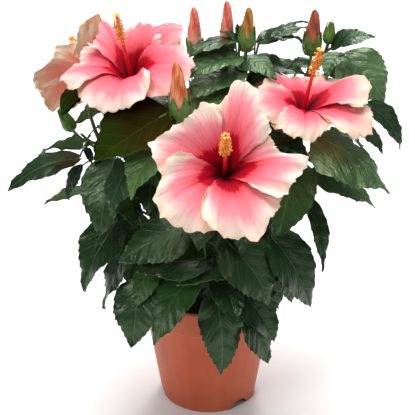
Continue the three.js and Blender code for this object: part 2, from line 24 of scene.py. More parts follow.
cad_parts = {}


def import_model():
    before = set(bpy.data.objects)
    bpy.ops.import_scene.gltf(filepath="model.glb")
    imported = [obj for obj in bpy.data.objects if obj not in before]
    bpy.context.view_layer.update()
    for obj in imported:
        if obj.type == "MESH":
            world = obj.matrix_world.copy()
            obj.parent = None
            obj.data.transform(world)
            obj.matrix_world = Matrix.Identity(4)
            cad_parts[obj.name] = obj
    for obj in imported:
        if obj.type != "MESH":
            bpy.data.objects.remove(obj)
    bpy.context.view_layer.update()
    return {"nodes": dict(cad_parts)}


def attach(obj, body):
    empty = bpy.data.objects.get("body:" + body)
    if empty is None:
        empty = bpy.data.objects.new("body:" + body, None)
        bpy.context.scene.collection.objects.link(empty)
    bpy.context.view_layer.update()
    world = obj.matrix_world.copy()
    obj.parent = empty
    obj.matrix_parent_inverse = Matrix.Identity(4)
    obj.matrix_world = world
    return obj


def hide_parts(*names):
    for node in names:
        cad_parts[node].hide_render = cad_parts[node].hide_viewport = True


log = logging.getLogger("hibiscus")

MM = 0.001
GAP = 0.3
Array = np.ndarray
Triple = tuple[float, float, float]
Colour = Triple


# ---- Shader sheets


class Wire:
    """A shader socket that adds Math nodes where it is used in an expression."""

    def __init__(self, sheet: Sheet, socket: bpy.types.NodeSocket) -> None:
        """Wraps one output socket of the sheet."""
        self.sheet = sheet
        self.socket = socket

    def _math(self, operation: str, *values: Wire | float) -> Wire:
        """Adds one Math node over the values."""
        return self.sheet.node("ShaderNodeMath", {"operation": operation}, dict(enumerate(values)))

    def __add__(self, other: Wire | float) -> Wire:
        """Sum."""
        return self._math("ADD", self, other)

    __radd__ = __add__

    def __sub__(self, other: Wire | float) -> Wire:
        """Difference."""
        return self._math("SUBTRACT", self, other)

    def __rsub__(self, other: float) -> Wire:
        """Reflected difference."""
        return self._math("SUBTRACT", other, self)

    def __mul__(self, other: Wire | float) -> Wire:
        """Product."""
        return self._math("MULTIPLY", self, other)

    __rmul__ = __mul__

    def __abs__(self) -> Wire:
        """Size without sign."""
        return self._math("ABSOLUTE", self)

    def fraction(self) -> Wire:
        """What is left over the whole number below."""
        return self._math("FRACT", self)

    def sine(self) -> Wire:
        """Sine."""
        return self._math("SINE", self)

    def least(self, other: Wire | float) -> Wire:
        """The smaller of two."""
        return self._math("MINIMUM", self, other)

    def most(self, other: Wire | float) -> Wire:
        """The larger of two."""
        return self._math("MAXIMUM", self, other)

    def ease(self, low: float | Wire, high: float | Wire) -> Wire:
        """A smooth rise from 0 at low to 1 at high."""
        sockets = {"Value": self, "From Min": low, "From Max": high}
        return self.sheet.node("ShaderNodeMapRange", {"interpolation_type": "SMOOTHSTEP"}, sockets)


def opaque(colour: Wire | Colour) -> Wire | tuple[float, ...]:
    """A plain colour with its alpha of 1; a wire stays as it is."""
    return colour if isinstance(colour, Wire) else (*colour, 1.0)


class Sheet:
    """The node tree of one material."""

    def __init__(self, name: str) -> None:
        """Makes an empty material.

        Args:
            name: name of the material.
        """
        self.material = bpy.data.materials.new(name)
        self.material.use_nodes = True
        self.tree = self.material.node_tree
        self.tree.nodes.clear()

    def add(self, kind: str, settings: dict, sockets: dict) -> bpy.types.Node:
        """Adds one node.

        Args:
            kind: the node's type.
            settings: its settings, set first. "stops" gives a colour ramp's places and colours.
            sockets: values or wires by input name or number.

        Returns:
            The node.
        """
        node = self.tree.nodes.new(kind)
        for key, value in settings.items():
            if key == "stops":
                self._set_stops(node.color_ramp, value)
            else:
                setattr(node, key, value)
        for key, value in sockets.items():
            if isinstance(value, Wire):
                self.tree.links.new(value.socket, node.inputs[key])
            else:
                node.inputs[key].default_value = value
        return node

    def node(self, kind: str, settings: dict, sockets: dict, output: int | str = 0) -> Wire:
        """Adds one node as add does, and wraps the output with a name or number."""
        return Wire(self, self.add(kind, settings, sockets).outputs[output])

    @staticmethod
    def _set_stops(ramp: bpy.types.ColorRamp, stops: Sequence[tuple[float, Colour]]) -> None:
        """Gives a colour ramp its stops.

        Args:
            ramp: the ramp.
            stops: places and colours.
        """
        while len(ramp.elements) < len(stops):
            ramp.elements.new(1.0)
        for element, (position, colour) in zip(ramp.elements, stops):
            element.position = position
            element.color = (*colour, 1.0)

    def blend(self, share: Wire | float, low: Wire | Colour, high: Wire | Colour) -> Wire:
        """Mixes two colours by a share."""
        sockets = {0: share, 6: opaque(low), 7: opaque(high)}
        return self.node("ShaderNodeMix", {"data_type": "RGBA"}, sockets, 2)

    def tint(self, colour: Wire | Colour, light: Wire) -> Wire:
        """Multiplies a colour by a grey level.

        Args:
            colour: the colour.
            light: the grey level.

        Returns:
            The product.
        """
        grey = self.node("ShaderNodeCombineColor", {}, {0: light, 1: light, 2: light})
        settings = {"data_type": "RGBA", "blend_type": "MULTIPLY"}
        return self.node("ShaderNodeMix", settings, {0: 1.0, 6: opaque(colour), 7: grey}, 2)

    def ramp(self, value: Wire, stops: Sequence[tuple[float, Colour]]) -> Wire:
        """Turns a value into a colour by stops."""
        return self.node("ShaderNodeValToRGB", {"stops": stops}, {0: value})

    def object_space(self) -> Wire:
        """Object coordinates."""
        return self.node("ShaderNodeTexCoord", {}, {}, "Object")

    def own_map(self) -> tuple[Wire, Wire, Wire]:
        """The piece's own map: the vector, then its two shares.

        Returns:
            The vector, its share along and its share across.
        """
        vector = self.node("ShaderNodeUVMap", {"uv_map": "Own"}, {})
        shares = self.add("ShaderNodeSeparateXYZ", {}, {0: vector}).outputs
        return vector, Wire(self, shares[0]), Wire(self, shares[1])

    def scaled(self, vector: Wire, scale: Triple) -> Wire:
        """Stretches coordinates."""
        return self.node("ShaderNodeMapping", {}, {"Vector": vector, "Scale": scale})

    def noise(self, vector: Wire, scale: float, detail: float = 3.0, rough: float = 0.5) -> Wire:
        """A noise value around one half."""
        sockets = {"Vector": vector, "Scale": scale, "Detail": detail, "Roughness": rough}
        return self.node("ShaderNodeTexNoise", {}, sockets)

    def cells(self, vector: Wire, scale: float, feature: str = "F1") -> Wire:
        """Distance inside a pattern of cells."""
        sockets = {"Vector": vector, "Scale": scale}
        return self.node("ShaderNodeTexVoronoi", {"feature": feature}, sockets, "Distance")

    def finish(
        self,
        colour: Wire | Colour,
        rough: Wire | float,
        height: Wire | None = None,
        depth: float = 0.0005,
        **constants: float | tuple,
    ) -> bpy.types.Material:
        """Closes the sheet with its surface shader.

        Args:
            colour: base colour.
            rough: roughness.
            height: relief between 0 and 1, if any.
            depth: height of the relief in metres.
            constants: other sockets of the shader, with underscores for spaces.

        Returns:
            The material.
        """
        sockets = {"Base Color": opaque(colour), "Roughness": rough}
        sockets.update({key.replace("_", " "): value for key, value in constants.items()})
        if height is not None:
            relief = {"Height": height, "Distance": depth, "Strength": 1.0}
            sockets["Normal"] = self.node("ShaderNodeBump", {}, relief)
        surface = self.node("ShaderNodeBsdfPrincipled", {}, sockets)
        self.add("ShaderNodeOutputMaterial", {}, {"Surface": surface})
        return self.material


# ---- Finishes


class Finish(Protocol):
    """What every finish offers."""

    def material(self) -> bpy.types.Material:
        """Builds the finish."""


@dataclass(frozen=True)
class ClayPlastic:
    """Satin moulded plastic of the pot."""

    body: Colour = (0.54, 0.108, 0.043)
    worn: Colour = (0.61, 0.140, 0.062)

    def material(self) -> bpy.types.Material:
        """Builds the finish.

        Returns:
            Its material.
        """
        sheet = Sheet("clay_plastic")
        space = sheet.object_space()
        cloud = sheet.noise(space, 18.0, 4.0)
        streak = sheet.noise(sheet.scaled(space, (90.0, 90.0, 6.0)), 1.0, 3.0)
        speck = sheet.noise(space, 900.0, 2.0)
        mix = sheet.blend((cloud * 0.6 + streak * 0.4).ease(0.38, 0.66), self.body, self.worn)
        rough = 0.36 + 0.16 * cloud + 0.08 * speck
        height = 0.7 * speck + 0.3 * streak
        return sheet.finish(mix, rough, height, 0.00006, Specular_IOR_Level=0.3)


@dataclass(frozen=True)
class PottingSoil:
    """Dark crumbly potting soil."""

    dark: Colour = (0.010, 0.007, 0.005)
    light: Colour = (0.045, 0.030, 0.020)

    def material(self) -> bpy.types.Material:
        """Builds the finish.

        Returns:
            Its material.
        """
        sheet = Sheet("potting_soil")
        space = sheet.object_space()
        grain = sheet.noise(space, 420.0, 5.0, 0.7)
        clod = sheet.cells(space, 190.0)
        mix = sheet.blend(grain.ease(0.35, 0.75), self.dark, self.light)
        return sheet.finish(mix, 0.95, 0.6 * grain + 0.4 * clod, 0.0012)


@dataclass(frozen=True)
class Bark:
    """Grey-brown young bark with raised pores."""

    dark: Colour = (0.085, 0.058, 0.034)
    light: Colour = (0.24, 0.185, 0.115)
    green: Colour = (0.095, 0.125, 0.05)

    def material(self) -> bpy.types.Material:
        """Builds the finish: browner low down, greener up the boughs.

        Returns:
            Its material.
        """
        sheet = Sheet("bark")
        space = sheet.object_space()
        fibre = sheet.noise(sheet.scaled(space, (420.0, 420.0, 60.0)), 1.0, 5.0, 0.6)
        pore = 1.0 - sheet.cells(sheet.scaled(space, (1.0, 1.0, 0.6)), 260.0).ease(0.12, 0.34)
        height = sheet.node("ShaderNodeSeparateXYZ", {}, {0: space}, 2)
        wood = sheet.blend(fibre.ease(0.3, 0.7), self.dark, self.light)
        skin = sheet.blend(height.ease(0.17, 0.3), wood, self.green)
        spotted = sheet.blend(pore * 0.5, skin, self.light)
        return sheet.finish(spotted, 0.74, 0.7 * fibre + 0.5 * pore, 0.0005)


@dataclass(frozen=True)
class GreenStem:
    """Smooth green stalk, a little flushed with red."""

    name: str = "green_stem"
    green: Colour = (0.075, 0.15, 0.04)
    flush: Colour = (0.12, 0.10, 0.035)

    def material(self) -> bpy.types.Material:
        """Builds the finish.

        Returns:
            Its material.
        """
        sheet = Sheet(self.name)
        space = sheet.object_space()
        patch = sheet.noise(space, 60.0, 2.0)
        fibre = sheet.noise(sheet.scaled(space, (700.0, 700.0, 120.0)), 1.0, 3.0)
        mix = sheet.blend(patch.ease(0.35, 0.7), self.green, self.flush)
        return sheet.finish(mix, 0.42, fibre, 0.00012)


@dataclass(frozen=True)
class LeafFace:
    """Upper or lower face of a leaf, with its midrib and side veins along the leaf's own map."""

    name: str
    blade: Colour
    vein: Colour
    rough: float = 0.22
    veins: float = 5.2
    lean: float = 0.85
    sweep: float = 0.7
    relief: float = 0.0010
    vein_mix: float = 0.52
    gloss: float = 0.62
    sheen: Colour = (0.78, 1.0, 0.66)
    index: float = 1.45
    flush: Colour | None = None

    def material(self) -> bpy.types.Material:
        """Builds the finish.

        Returns:
            Its material.
        """
        sheet = Sheet(self.name)
        vector, along, across = sheet.own_map()
        space = sheet.object_space()
        side = abs(across - 0.5)
        start = along - side * self.lean - side * side * self.sweep
        drift = sheet.noise(space, 34.0, 1.0)
        phase = (start * self.veins + 0.5 * drift).fraction()
        near = phase.least(1.0 - phase)
        rib = 1.0 - side.ease(0.003, 0.013)
        line = (1.0 - near.ease(0.008, 0.045)) * (1.0 - side.ease(0.1, 0.36) * 0.5)
        net = 1.0 - sheet.cells(vector, 26.0, "DISTANCE_TO_EDGE").ease(0.0, 0.08)
        mark = rib.most(line * 0.75).most(net * 0.16)
        shade = sheet.noise(space, 22.0, 3.0)
        base = sheet.tint(self.blade, 0.5 + 1.0 * shade)
        if self.flush is not None:
            patch = (1.15 - along + 0.5 * (shade - 0.5)).ease(0.35, 0.75)
            base = sheet.blend(patch, base, self.flush)
        mix = sheet.blend(mark * self.vein_mix, base, self.vein)
        bulge = near.ease(0.0, 0.45)
        ways = sheet.node("ShaderNodeCombineXYZ", {}, {0: start * 2.6, 1: side * 1.3, 2: across})
        pucker = sheet.noise(ways, 8.0, 2.0)
        height = 0.24 * bulge - 0.2 * rib + 0.05 * (1.0 - net) + 0.55 * pucker
        rough = self.rough + 0.14 * shade
        return sheet.finish(
            mix, rough, height, self.relief, Specular_IOR_Level=self.gloss,
            Specular_Tint=(*self.sheen, 1.0), IOR=self.index,
        )


@dataclass(frozen=True)
class PetalFace:
    """Face of a petal: dark eye, coral middle, pale ruffled edge, along the petal's own map."""

    name: str
    stops: tuple[tuple[float, Colour], ...]
    peach: Colour = (0.84, 0.52, 0.33)
    peach_mix: float = 0.85
    streak: float = 0.12
    vein: float = 0.26
    band: float = 0.17
    through: float = 0.12

    def material(self) -> bpy.types.Material:
        """Builds the finish. The map's across runs from the side on top to the side beneath.

        Returns:
            Its material.
        """
        sheet = Sheet(self.name)
        vector, along, across = sheet.own_map()
        rays = sheet.noise(sheet.scaled(vector, (1.6, 26.0, 1.0)), 1.0, 4.0, 0.6)
        fine = sheet.noise(sheet.scaled(vector, (3.0, 80.0, 1.0)), 1.0, 3.0, 0.65)
        drift = sheet.noise(vector, 2.6, 3.0)
        lobe = abs(across - 0.5) * 2.0
        top_side = 1.0 - across.ease(0.0, 0.42)
        under_side = across.ease(0.62, 1.0)
        outer = along.ease(0.4, 0.8)
        shift = (rays - 0.5) * self.streak * 2.0 + (drift - 0.5) * 0.30 * outer
        shift = shift + lobe * lobe * 0.12 * (1.0 - along.ease(0.30, 0.55))
        shift = shift + top_side * along.ease(0.38, 0.75) * self.band
        colour = sheet.ramp(along + shift, self.stops)
        rim = (under_side * along.ease(0.45, 0.95)).most(along.ease(0.86, 1.02) * 0.45)
        warm = sheet.blend(rim * self.peach_mix * (0.5 + drift), colour, self.peach)
        lined = sheet.tint(warm, 1.0 - fine.ease(0.48, 0.78) * self.vein)
        height = 0.6 * rays + 0.4 * fine
        return sheet.finish(
            lined, 0.62, height, 0.0011, Specular_IOR_Level=0.12,
            Subsurface_Weight=self.through, Subsurface_Scale=0.003,
        )


@dataclass(frozen=True)
class PlainFinish:
    """A small part of one colour with a little mottling."""

    name: str
    colour: Colour
    deep: Colour
    rough: float = 0.45
    scale: float = 300.0
    relief: float = 0.0002

    def material(self) -> bpy.types.Material:
        """Builds the finish.

        Returns:
            Its material.
        """
        sheet = Sheet(self.name)
        space = sheet.object_space()
        grain = sheet.noise(space, self.scale, 3.0)
        mix = sheet.blend(grain.ease(0.3, 0.7), self.deep, self.colour)
        return sheet.finish(mix, self.rough, grain, self.relief)


@dataclass(frozen=True)
class BudSkin:
    """Wrapped petals of a bud: pleats in a spiral, a net of wrinkles, paler where they start,
    darker in the furrows as painted shade.
    """

    name: str
    ridge: Colour
    furrow_painted_shade: Colour
    pale: Colour

    def material(self) -> bpy.types.Material:
        """Builds the finish.

        Returns:
            Its material.
        """
        sheet = Sheet(self.name)
        vector, along, across = sheet.own_map()
        space = sheet.object_space()
        bend = sheet.noise(space, 90.0, 2.0)
        pleat = ((across * 3.0 + along * 1.1 + bend * 0.5) * math.tau).sine() * 0.5 + 0.5
        rib = sheet.noise(sheet.scaled(space, (1.0, 1.0, 0.16)), 520.0, 3.0, 0.6)
        cross = sheet.noise(space, 420.0, 2.0)
        # The furrows of the pleats and wrinkles take the darker colour: painted shade of the
        # folds; the same values give the relief.
        relief_and_painted_shade = pleat * 0.35 + rib.ease(0.35, 0.65) * 0.4 + cross * 0.25
        skin = sheet.blend(relief_and_painted_shade.ease(0.2, 0.75), self.furrow_painted_shade, self.ridge)
        mix = sheet.blend((1.0 - along.ease(0.22, 0.55)) * 0.7, skin, self.pale)
        return sheet.finish(mix, 0.55, relief_and_painted_shade, 0.0009, Specular_IOR_Level=0.3)


@dataclass(frozen=True)
class ColumnSkin:
    """The column: crimson at its foot, coral towards the anthers."""

    stops: tuple[tuple[float, Colour], ...] = (
        (0.00, (0.42, 0.000, 0.010)),
        (0.30, (0.74, 0.008, 0.020)),
        (0.60, (0.82, 0.050, 0.045)),
        (0.85, (0.86, 0.250, 0.120)),
    )

    def material(self) -> bpy.types.Material:
        """Builds the finish.

        Returns:
            Its material.
        """
        sheet = Sheet("column_skin")
        _, along, _ = sheet.own_map()
        return sheet.finish(sheet.ramp(along, self.stops), 0.4, None, Specular_IOR_Level=0.3)


@dataclass(frozen=True)
class StudioPaper:
    """Pale floor."""

    colour: Colour = (0.93, 0.93, 0.93)

    def material(self) -> bpy.types.Material:
        """Builds the finish.

        Returns:
            Its material.
        """
        sheet = Sheet("studio_paper")
        grain = sheet.noise(sheet.object_space(), 6.0, 2.0)
        mix = sheet.blend(grain, self.colour, tuple(0.99 * part for part in self.colour))
        return sheet.finish(mix, 0.9, None, Specular_IOR_Level=0.1)


class Tint(Enum):
    """Which of the greens a leaf has."""

    DEEP = 0
    MID = 1
    # A paler green that also stands in for highlights: partly painted highlight.
    BRIGHT = 2
    OLIVE = 3
    YOUNG = 4
    GLOSSY = 5


LEAF_FACES = (
    LeafFace("leaf_deep", (0.0090, 0.0310, 0.0085), (0.06, 0.13, 0.050)),
    LeafFace("leaf_mid", (0.0185, 0.060, 0.0125), (0.10, 0.20, 0.06)),
    # Paler green with more gloss; its light base colour partly paints highlights that the leaves
    # do not catch.
    LeafFace(
        "leaf_bright", (0.072, 0.160, 0.040), (0.28, 0.40, 0.15), rough=0.25, relief=0.0022,
        gloss=0.9,
    ),
    LeafFace(
        "leaf_olive", (0.0140, 0.0280, 0.0025), (0.04, 0.055, 0.010), rough=0.5, gloss=0.03,
        index=1.15, flush=(0.0200, 0.0145, 0.0020),
    ),
    LeafFace("leaf_young", (0.060, 0.165, 0.024), (0.17, 0.30, 0.07)),
    LeafFace(
        "leaf_glossy", (0.040, 0.098, 0.025), (0.20, 0.32, 0.13), rough=0.24, relief=0.0024,
        gloss=1.0, index=1.6,
    ),
    LeafFace(
        "leaf_under", (0.050, 0.100, 0.032), (0.12, 0.19, 0.07), rough=0.55, relief=0.0005,
        gloss=0.25,
    ),
)
UNDER_SLOT = len(LEAF_FACES) - 1

PETAL_TOP = PetalFace(
    "petal_face",
    (
        (0.05, (0.014, 0.000, 0.002)),
        (0.13, (0.10, 0.000, 0.006)),
        (0.22, (0.36, 0.000, 0.012)),
        (0.35, (0.50, 0.001, 0.020)),
        (0.39, (0.82, 0.075, 0.105)),
        (0.51, (0.86, 0.170, 0.215)),
        (0.72, (0.87, 0.280, 0.325)),
        (0.83, (0.87, 0.475, 0.455)),
        (0.91, (0.86, 0.645, 0.570)),
        (1.00, (0.87, 0.745, 0.590)),
    ),
    peach_mix=0.7,
)
# A darker copy of the petal face with its middle and margin stops dimmed: painted shade that
# offsets the stronger light on the upturned left bloom.
PETAL_DIMMED_FOR_LIGHT = replace(
    PETAL_TOP,
    name="petal_face_high",
    stops=(
        *PETAL_TOP.stops[:-5],
        (0.51, (0.85, 0.130, 0.175)),
        (0.72, (0.85, 0.225, 0.270)),
        (0.83, (0.86, 0.460, 0.440)),
        (0.91, (0.83, 0.610, 0.550)),
        (1.00, (0.82, 0.680, 0.530)),
    ),
)
# A darker copy still, with a darker peach: painted shade that offsets the stronger light on the
# upturned right bloom.
PETAL_DIMMED_MORE_FOR_LIGHT = replace(
    PETAL_TOP,
    name="petal_face_lit",
    stops=(
        *PETAL_TOP.stops[:-5],
        (0.51, (0.84, 0.120, 0.165)),
        (0.70, (0.84, 0.225, 0.265)),
        (0.83, (0.81, 0.420, 0.390)),
        (0.91, (0.76, 0.520, 0.440)),
        (1.00, (0.68, 0.530, 0.400)),
    ),
    peach=(0.80, 0.47, 0.31),
)
PETAL_BACK = PetalFace(
    "petal_back",
    (
        (0.00, (0.55, 0.14, 0.09)),
        (0.35, (0.90, 0.34, 0.25)),
        (0.65, (0.93, 0.46, 0.37)),
        (0.88, (0.96, 0.76, 0.65)),
        (1.00, (0.96, 0.88, 0.74)),
    ),
    vein=0.28,
    through=0.5,
)
ANTHER = PlainFinish("anther", (0.94, 0.46, 0.07), (0.84, 0.26, 0.04), 0.7, 900.0)
STIGMA = PlainFinish("stigma", (0.98, 0.70, 0.14), (0.94, 0.52, 0.09), 0.7, 900.0)
COLUMN_SKIN = ColumnSkin()
CALYX_SKIN = PlainFinish("calyx_skin", (0.14, 0.27, 0.045), (0.07, 0.16, 0.022), 0.45, 160.0)
BUD_SKINS = (
    BudSkin("bud_coral", (1.0, 0.35, 0.24), (0.76, 0.10, 0.055), (0.98, 0.60, 0.46)),
    BudSkin("bud_orange", (1.0, 0.37, 0.15), (0.66, 0.11, 0.04), (0.98, 0.52, 0.36)),
    BudSkin("bud_gold", (0.62, 0.30, 0.07), (0.26, 0.10, 0.02), (0.60, 0.36, 0.12)),
    BudSkin("bud_russet", (0.55, 0.15, 0.07), (0.26, 0.05, 0.03), (0.50, 0.22, 0.10)),
    BudSkin("bud_green", (0.16, 0.29, 0.06), (0.07, 0.16, 0.025), (0.16, 0.29, 0.06)),
)


@cache
def dressed(finish: Finish) -> bpy.types.Material:
    """The material of a finish, built once."""
    return finish.material()


# ---- Lines and patterns


def heading(bearing: float, climb: float) -> Array:
    """Unit vector with a bearing and a climb in degrees.

    Args:
        bearing: degrees from +X towards +Y.
        climb: degrees up.

    Returns:
        The vector.
    """
    turn, lift = math.radians(bearing), math.radians(climb)
    return np.array([
        math.cos(turn) * math.cos(lift), math.sin(turn) * math.cos(lift), math.sin(lift),
    ])


def place(bearing: float, reach: float, height: float) -> Array:
    """Point at a bearing, reach and height."""
    return heading(bearing, 0) * reach + np.array([0.0, 0.0, height])


def nearest(spots: Array, aim: Array) -> Array:
    """The one of several spots that is nearest to an aim."""
    return spots[np.argmin(np.linalg.norm(spots - aim, axis=1))].copy()


def letters(name: str) -> int:
    """A number made of a name's letters, so that what bears the name draws its own."""
    return sum(map(ord, name))


def turned(vector: Array, axis: Array, degrees: float) -> Array:
    """A vector turned round an axis through the origin."""
    cosine, sine = math.cos(math.radians(degrees)), math.sin(math.radians(degrees))
    return vector * cosine + np.cross(axis, vector) * sine + axis * axis.dot(vector) * (1 - cosine)


class Draws:
    """Repeatable draws between 0 and 1, the same as the source of the solids makes."""

    def __init__(self, seed: int) -> None:
        """Starts from a seed."""
        self.state = seed

    def __call__(self) -> float:
        """The next draw."""
        self.state = (self.state * 1664525 + 1013904223) & 0xFFFFFFFF
        return self.state / 4294967296

    def between(self, low: float, high: float) -> float:
        """The next draw between two values."""
        return low + (high - low) * self()


@dataclass(frozen=True)
class Line:
    """A smooth line in space, kept as closely spaced points."""

    points: Array

    BEZIER_POINTS = 97
    SPAN_POINTS = 25
    PART_POINTS = 65

    @staticmethod
    def bezier(*handles: Array) -> Line:
        """A Bezier line over its handles.

        Args:
            handles: its handles in order.

        Returns:
            The line.
        """
        t = np.linspace(0, 1, Line.BEZIER_POINTS)[:, None]
        degree = len(handles) - 1
        terms = [
            math.comb(degree, i) * (1 - t) ** (degree - i) * t**i * handle
            for i, handle in enumerate(handles)
        ]
        return Line(np.sum(terms, axis=0))

    @staticmethod
    def through(*knots: Array) -> Line:
        """A centripetal Catmull-Rom line through its knots.

        Args:
            knots: its knots in order.

        Returns:
            The line.
        """
        knots = np.asarray(knots, float)
        padded = np.vstack([2 * knots[0] - knots[1], knots, 2 * knots[-1] - knots[-2]])
        t = np.linspace(0, 1, Line.SPAN_POINTS)[:, None]
        pieces = []
        for i in range(len(knots) - 1):
            p0, p1, p2, p3 = padded[i : i + 4]
            d0, d1, d2 = (
                max(float(np.linalg.norm(b - a)), 1e-6) ** 0.5
                for a, b in ((p0, p1), (p1, p2), (p2, p3))
            )
            m1 = ((p1 - p0) / d0 - (p2 - p0) / (d0 + d1) + (p2 - p1) / d1) * d1
            m2 = ((p2 - p1) / d1 - (p3 - p1) / (d1 + d2) + (p3 - p2) / d2) * d1
            square = -3 * p1 + 3 * p2 - 2 * m1 - m2
            cube = 2 * p1 - 2 * p2 + m1 + m2
            pieces.append(p1 + m1 * t + square * t**2 + cube * t**3)
        return Line(np.vstack([piece[:-1] for piece in pieces[:-1]] + [pieces[-1]]))

    def _lengths(self) -> Array:
        """Length from the start to each point."""
        steps = np.linalg.norm(np.diff(self.points, axis=0), axis=1)
        return np.concatenate([[0.0], np.cumsum(steps)])

    def length(self) -> float:
        """Whole length."""
        return float(self._lengths()[-1])

    def at(self, share: float | Array) -> Array:
        """Points at shares of the length.

        Args:
            share: one share or several.

        Returns:
            A point or a row of points.
        """
        lengths = self._lengths()
        wanted = np.clip(share, 0, 1) * lengths[-1]
        return np.stack([np.interp(wanted, lengths, self.points[:, i]) for i in range(3)], axis=-1)

    def part(self, low: float, high: float) -> Line:
        """The stretch between two shares of the length."""
        return Line(self.at(np.linspace(low, high, self.PART_POINTS)))

    def frames(self, steps: int) -> tuple[Array, Array, Array]:
        """Centres and two cross directions at equal steps, without twist.

        Args:
            steps: number of steps along the line.

        Returns:
            Centres, first cross directions and second cross directions.
        """
        centres = self.at(np.linspace(0, 1, steps + 1))
        tangents = np.gradient(centres, axis=0)
        tangents /= np.linalg.norm(tangents, axis=1)[:, None]
        guide = np.array([1.0, 0, 0]) if abs(tangents[0][0]) < 0.8 else np.array([0, 1.0, 0])
        first = []
        for tangent in tangents:
            guide = guide - tangent * guide.dot(tangent)
            guide = guide / np.linalg.norm(guide)
            first.append(guide)
        first = np.array(first)
        return centres, first, np.cross(tangents, first)


@dataclass(frozen=True)
class Pattern:
    """A small mesh whose corners are shares of a shape, to be laid out many times."""

    corners: Array
    faces: tuple[tuple[int, ...], ...]


def as_pattern(mesh: bmesh.types.BMesh) -> Pattern:
    """Reads a bmesh into a pattern and frees it.

    Args:
        mesh: the bmesh.

    Returns:
        The pattern.
    """
    bmesh.ops.recalc_face_normals(mesh, faces=mesh.faces[:])
    mesh.verts.index_update()
    corners = np.array([v.co for v in mesh.verts], float)
    faces = tuple(tuple(v.index for v in face.verts) for face in mesh.faces)
    mesh.free()
    return Pattern(corners, faces)


@cache
def sheet_pattern(along: int, across: int) -> Pattern:
    """A closed thin sheet: x and y run from -0.5 to 0.5 and z is -0.5 or 0.5.

    Args:
        along: steps along x.
        across: steps along y.

    Returns:
        The pattern.
    """
    mesh = bmesh.new()
    bmesh.ops.create_grid(mesh, x_segments=along, y_segments=across, size=0.5)
    skin = bmesh.ops.extrude_face_region(mesh, geom=mesh.faces[:])
    lifted = [item for item in skin["geom"] if isinstance(item, bmesh.types.BMVert)]
    bmesh.ops.translate(mesh, verts=lifted, vec=(0, 0, 1))
    bmesh.ops.translate(mesh, verts=mesh.verts[:], vec=(0, 0, -0.5))
    return as_pattern(mesh)


@cache
def tube_pattern(sides: int, rings: int) -> Pattern:
    """A closed round tube of radius 1 whose z runs from 0 to 1.

    Args:
        sides: number of sides.
        rings: number of steps along z.

    Returns:
        The pattern.
    """
    mesh = bmesh.new()
    bmesh.ops.create_circle(mesh, cap_ends=True, segments=sides, radius=1.0)
    rim = mesh.edges[:]
    for _ in range(rings):
        made = bmesh.ops.extrude_edge_only(mesh, edges=rim)["geom"]
        lifted = [item for item in made if isinstance(item, bmesh.types.BMVert)]
        rim = [item for item in made if isinstance(item, bmesh.types.BMEdge)]
        rim = [edge for edge in rim if all(v in set(lifted) for v in edge.verts)]
        bmesh.ops.translate(mesh, verts=lifted, vec=(0, 0, 1.0 / rings))
    bmesh.ops.contextual_create(mesh, geom=rim)
    return as_pattern(mesh)


@cache
def pip_pattern(fineness: int) -> Pattern:
    """A small ball of radius 1.

    Args:
        fineness: 1 is the coarsest.

    Returns:
        The pattern.
    """
    mesh = bmesh.new()
    bmesh.ops.create_icosphere(mesh, subdivisions=fineness, radius=1.0)
    return as_pattern(mesh)


@dataclass
class Bundle:
    """Many laid-out patterns gathered into one mesh."""

    corners: list[Array] = field(default_factory=list)
    faces: list[tuple[int, ...]] = field(default_factory=list)
    maps: list[Array] = field(default_factory=list)
    slots: list[int] = field(default_factory=list)
    count: int = 0

    def add(
        self,
        pattern: Pattern,
        points: Array,
        own_map: Array | None = None,
        slots: int | Sequence[int] = 0,
    ) -> None:
        """Adds one laid-out pattern.

        Args:
            pattern: the pattern whose faces are used.
            points: a point in millimetres for each corner.
            own_map: the two shares of each corner on the piece's own map.
            slots: material slot of all faces, or of each face.
        """
        self.corners.append(points)
        self.faces.extend(tuple(i + self.count for i in face) for face in pattern.faces)
        self.maps.append(np.zeros((len(points), 2)) if own_map is None else own_map)
        each = [slots] * len(pattern.faces) if isinstance(slots, int) else list(slots)
        self.slots.extend(each)
        self.count += len(points)

    def piece(
        self,
        name: str,
        finishes: Sequence[Finish],
        slot: str,
        replaced: Sequence[str] = (),
        crease: float = 50.0,
    ) -> bpy.types.Object:
        """Makes the piece and hands it to the frame.

        Args:
            name: name of the piece.
            finishes: finishes of its material slots.
            slot: not used.
            replaced: CAD nodes that it stands for.
            crease: angle in degrees past which an edge stays sharp.

        Returns:
            The new object.
        """
        corners = np.vstack(self.corners) * MM
        mesh = bpy.data.meshes.new(name)
        mesh.from_pydata(corners.tolist(), [], self.faces)
        mesh.polygons.foreach_set("material_index", self.slots)
        own = mesh.uv_layers.new(name="Own")
        order = np.zeros(len(mesh.loops), int)
        mesh.loops.foreach_get("vertex_index", order)
        own.data.foreach_set("uv", np.vstack(self.maps)[order].astype(np.float32).ravel())
        smoothed(mesh, crease)
        return handed_over(name, mesh, finishes, replaced)


def linked(name: str, data: bpy.types.ID | None) -> bpy.types.Object:
    """Puts a mesh, camera or light in the scene as an object at the origin.

    Args:
        name: name of the object.
        data: its mesh, camera or light.

    Returns:
        The object.
    """
    item = bpy.data.objects.new(name, data)
    bpy.context.scene.collection.objects.link(item)
    return item


def as_mesh(name: str, shape: bmesh.types.BMesh) -> bpy.types.Mesh:
    """Turns a bmesh into a mesh and frees it.

    Args:
        name: name of the mesh.
        shape: the bmesh.

    Returns:
        The mesh.
    """
    mesh = bpy.data.meshes.new(name)
    shape.to_mesh(mesh)
    shape.free()
    return mesh


def smoothed(mesh: bpy.types.Mesh, crease: float) -> None:
    """Shades a mesh smooth but for edges past an angle in degrees."""
    mesh.polygons.foreach_set("use_smooth", [True] * len(mesh.polygons))
    mesh.set_sharp_from_angle(angle=math.radians(crease))


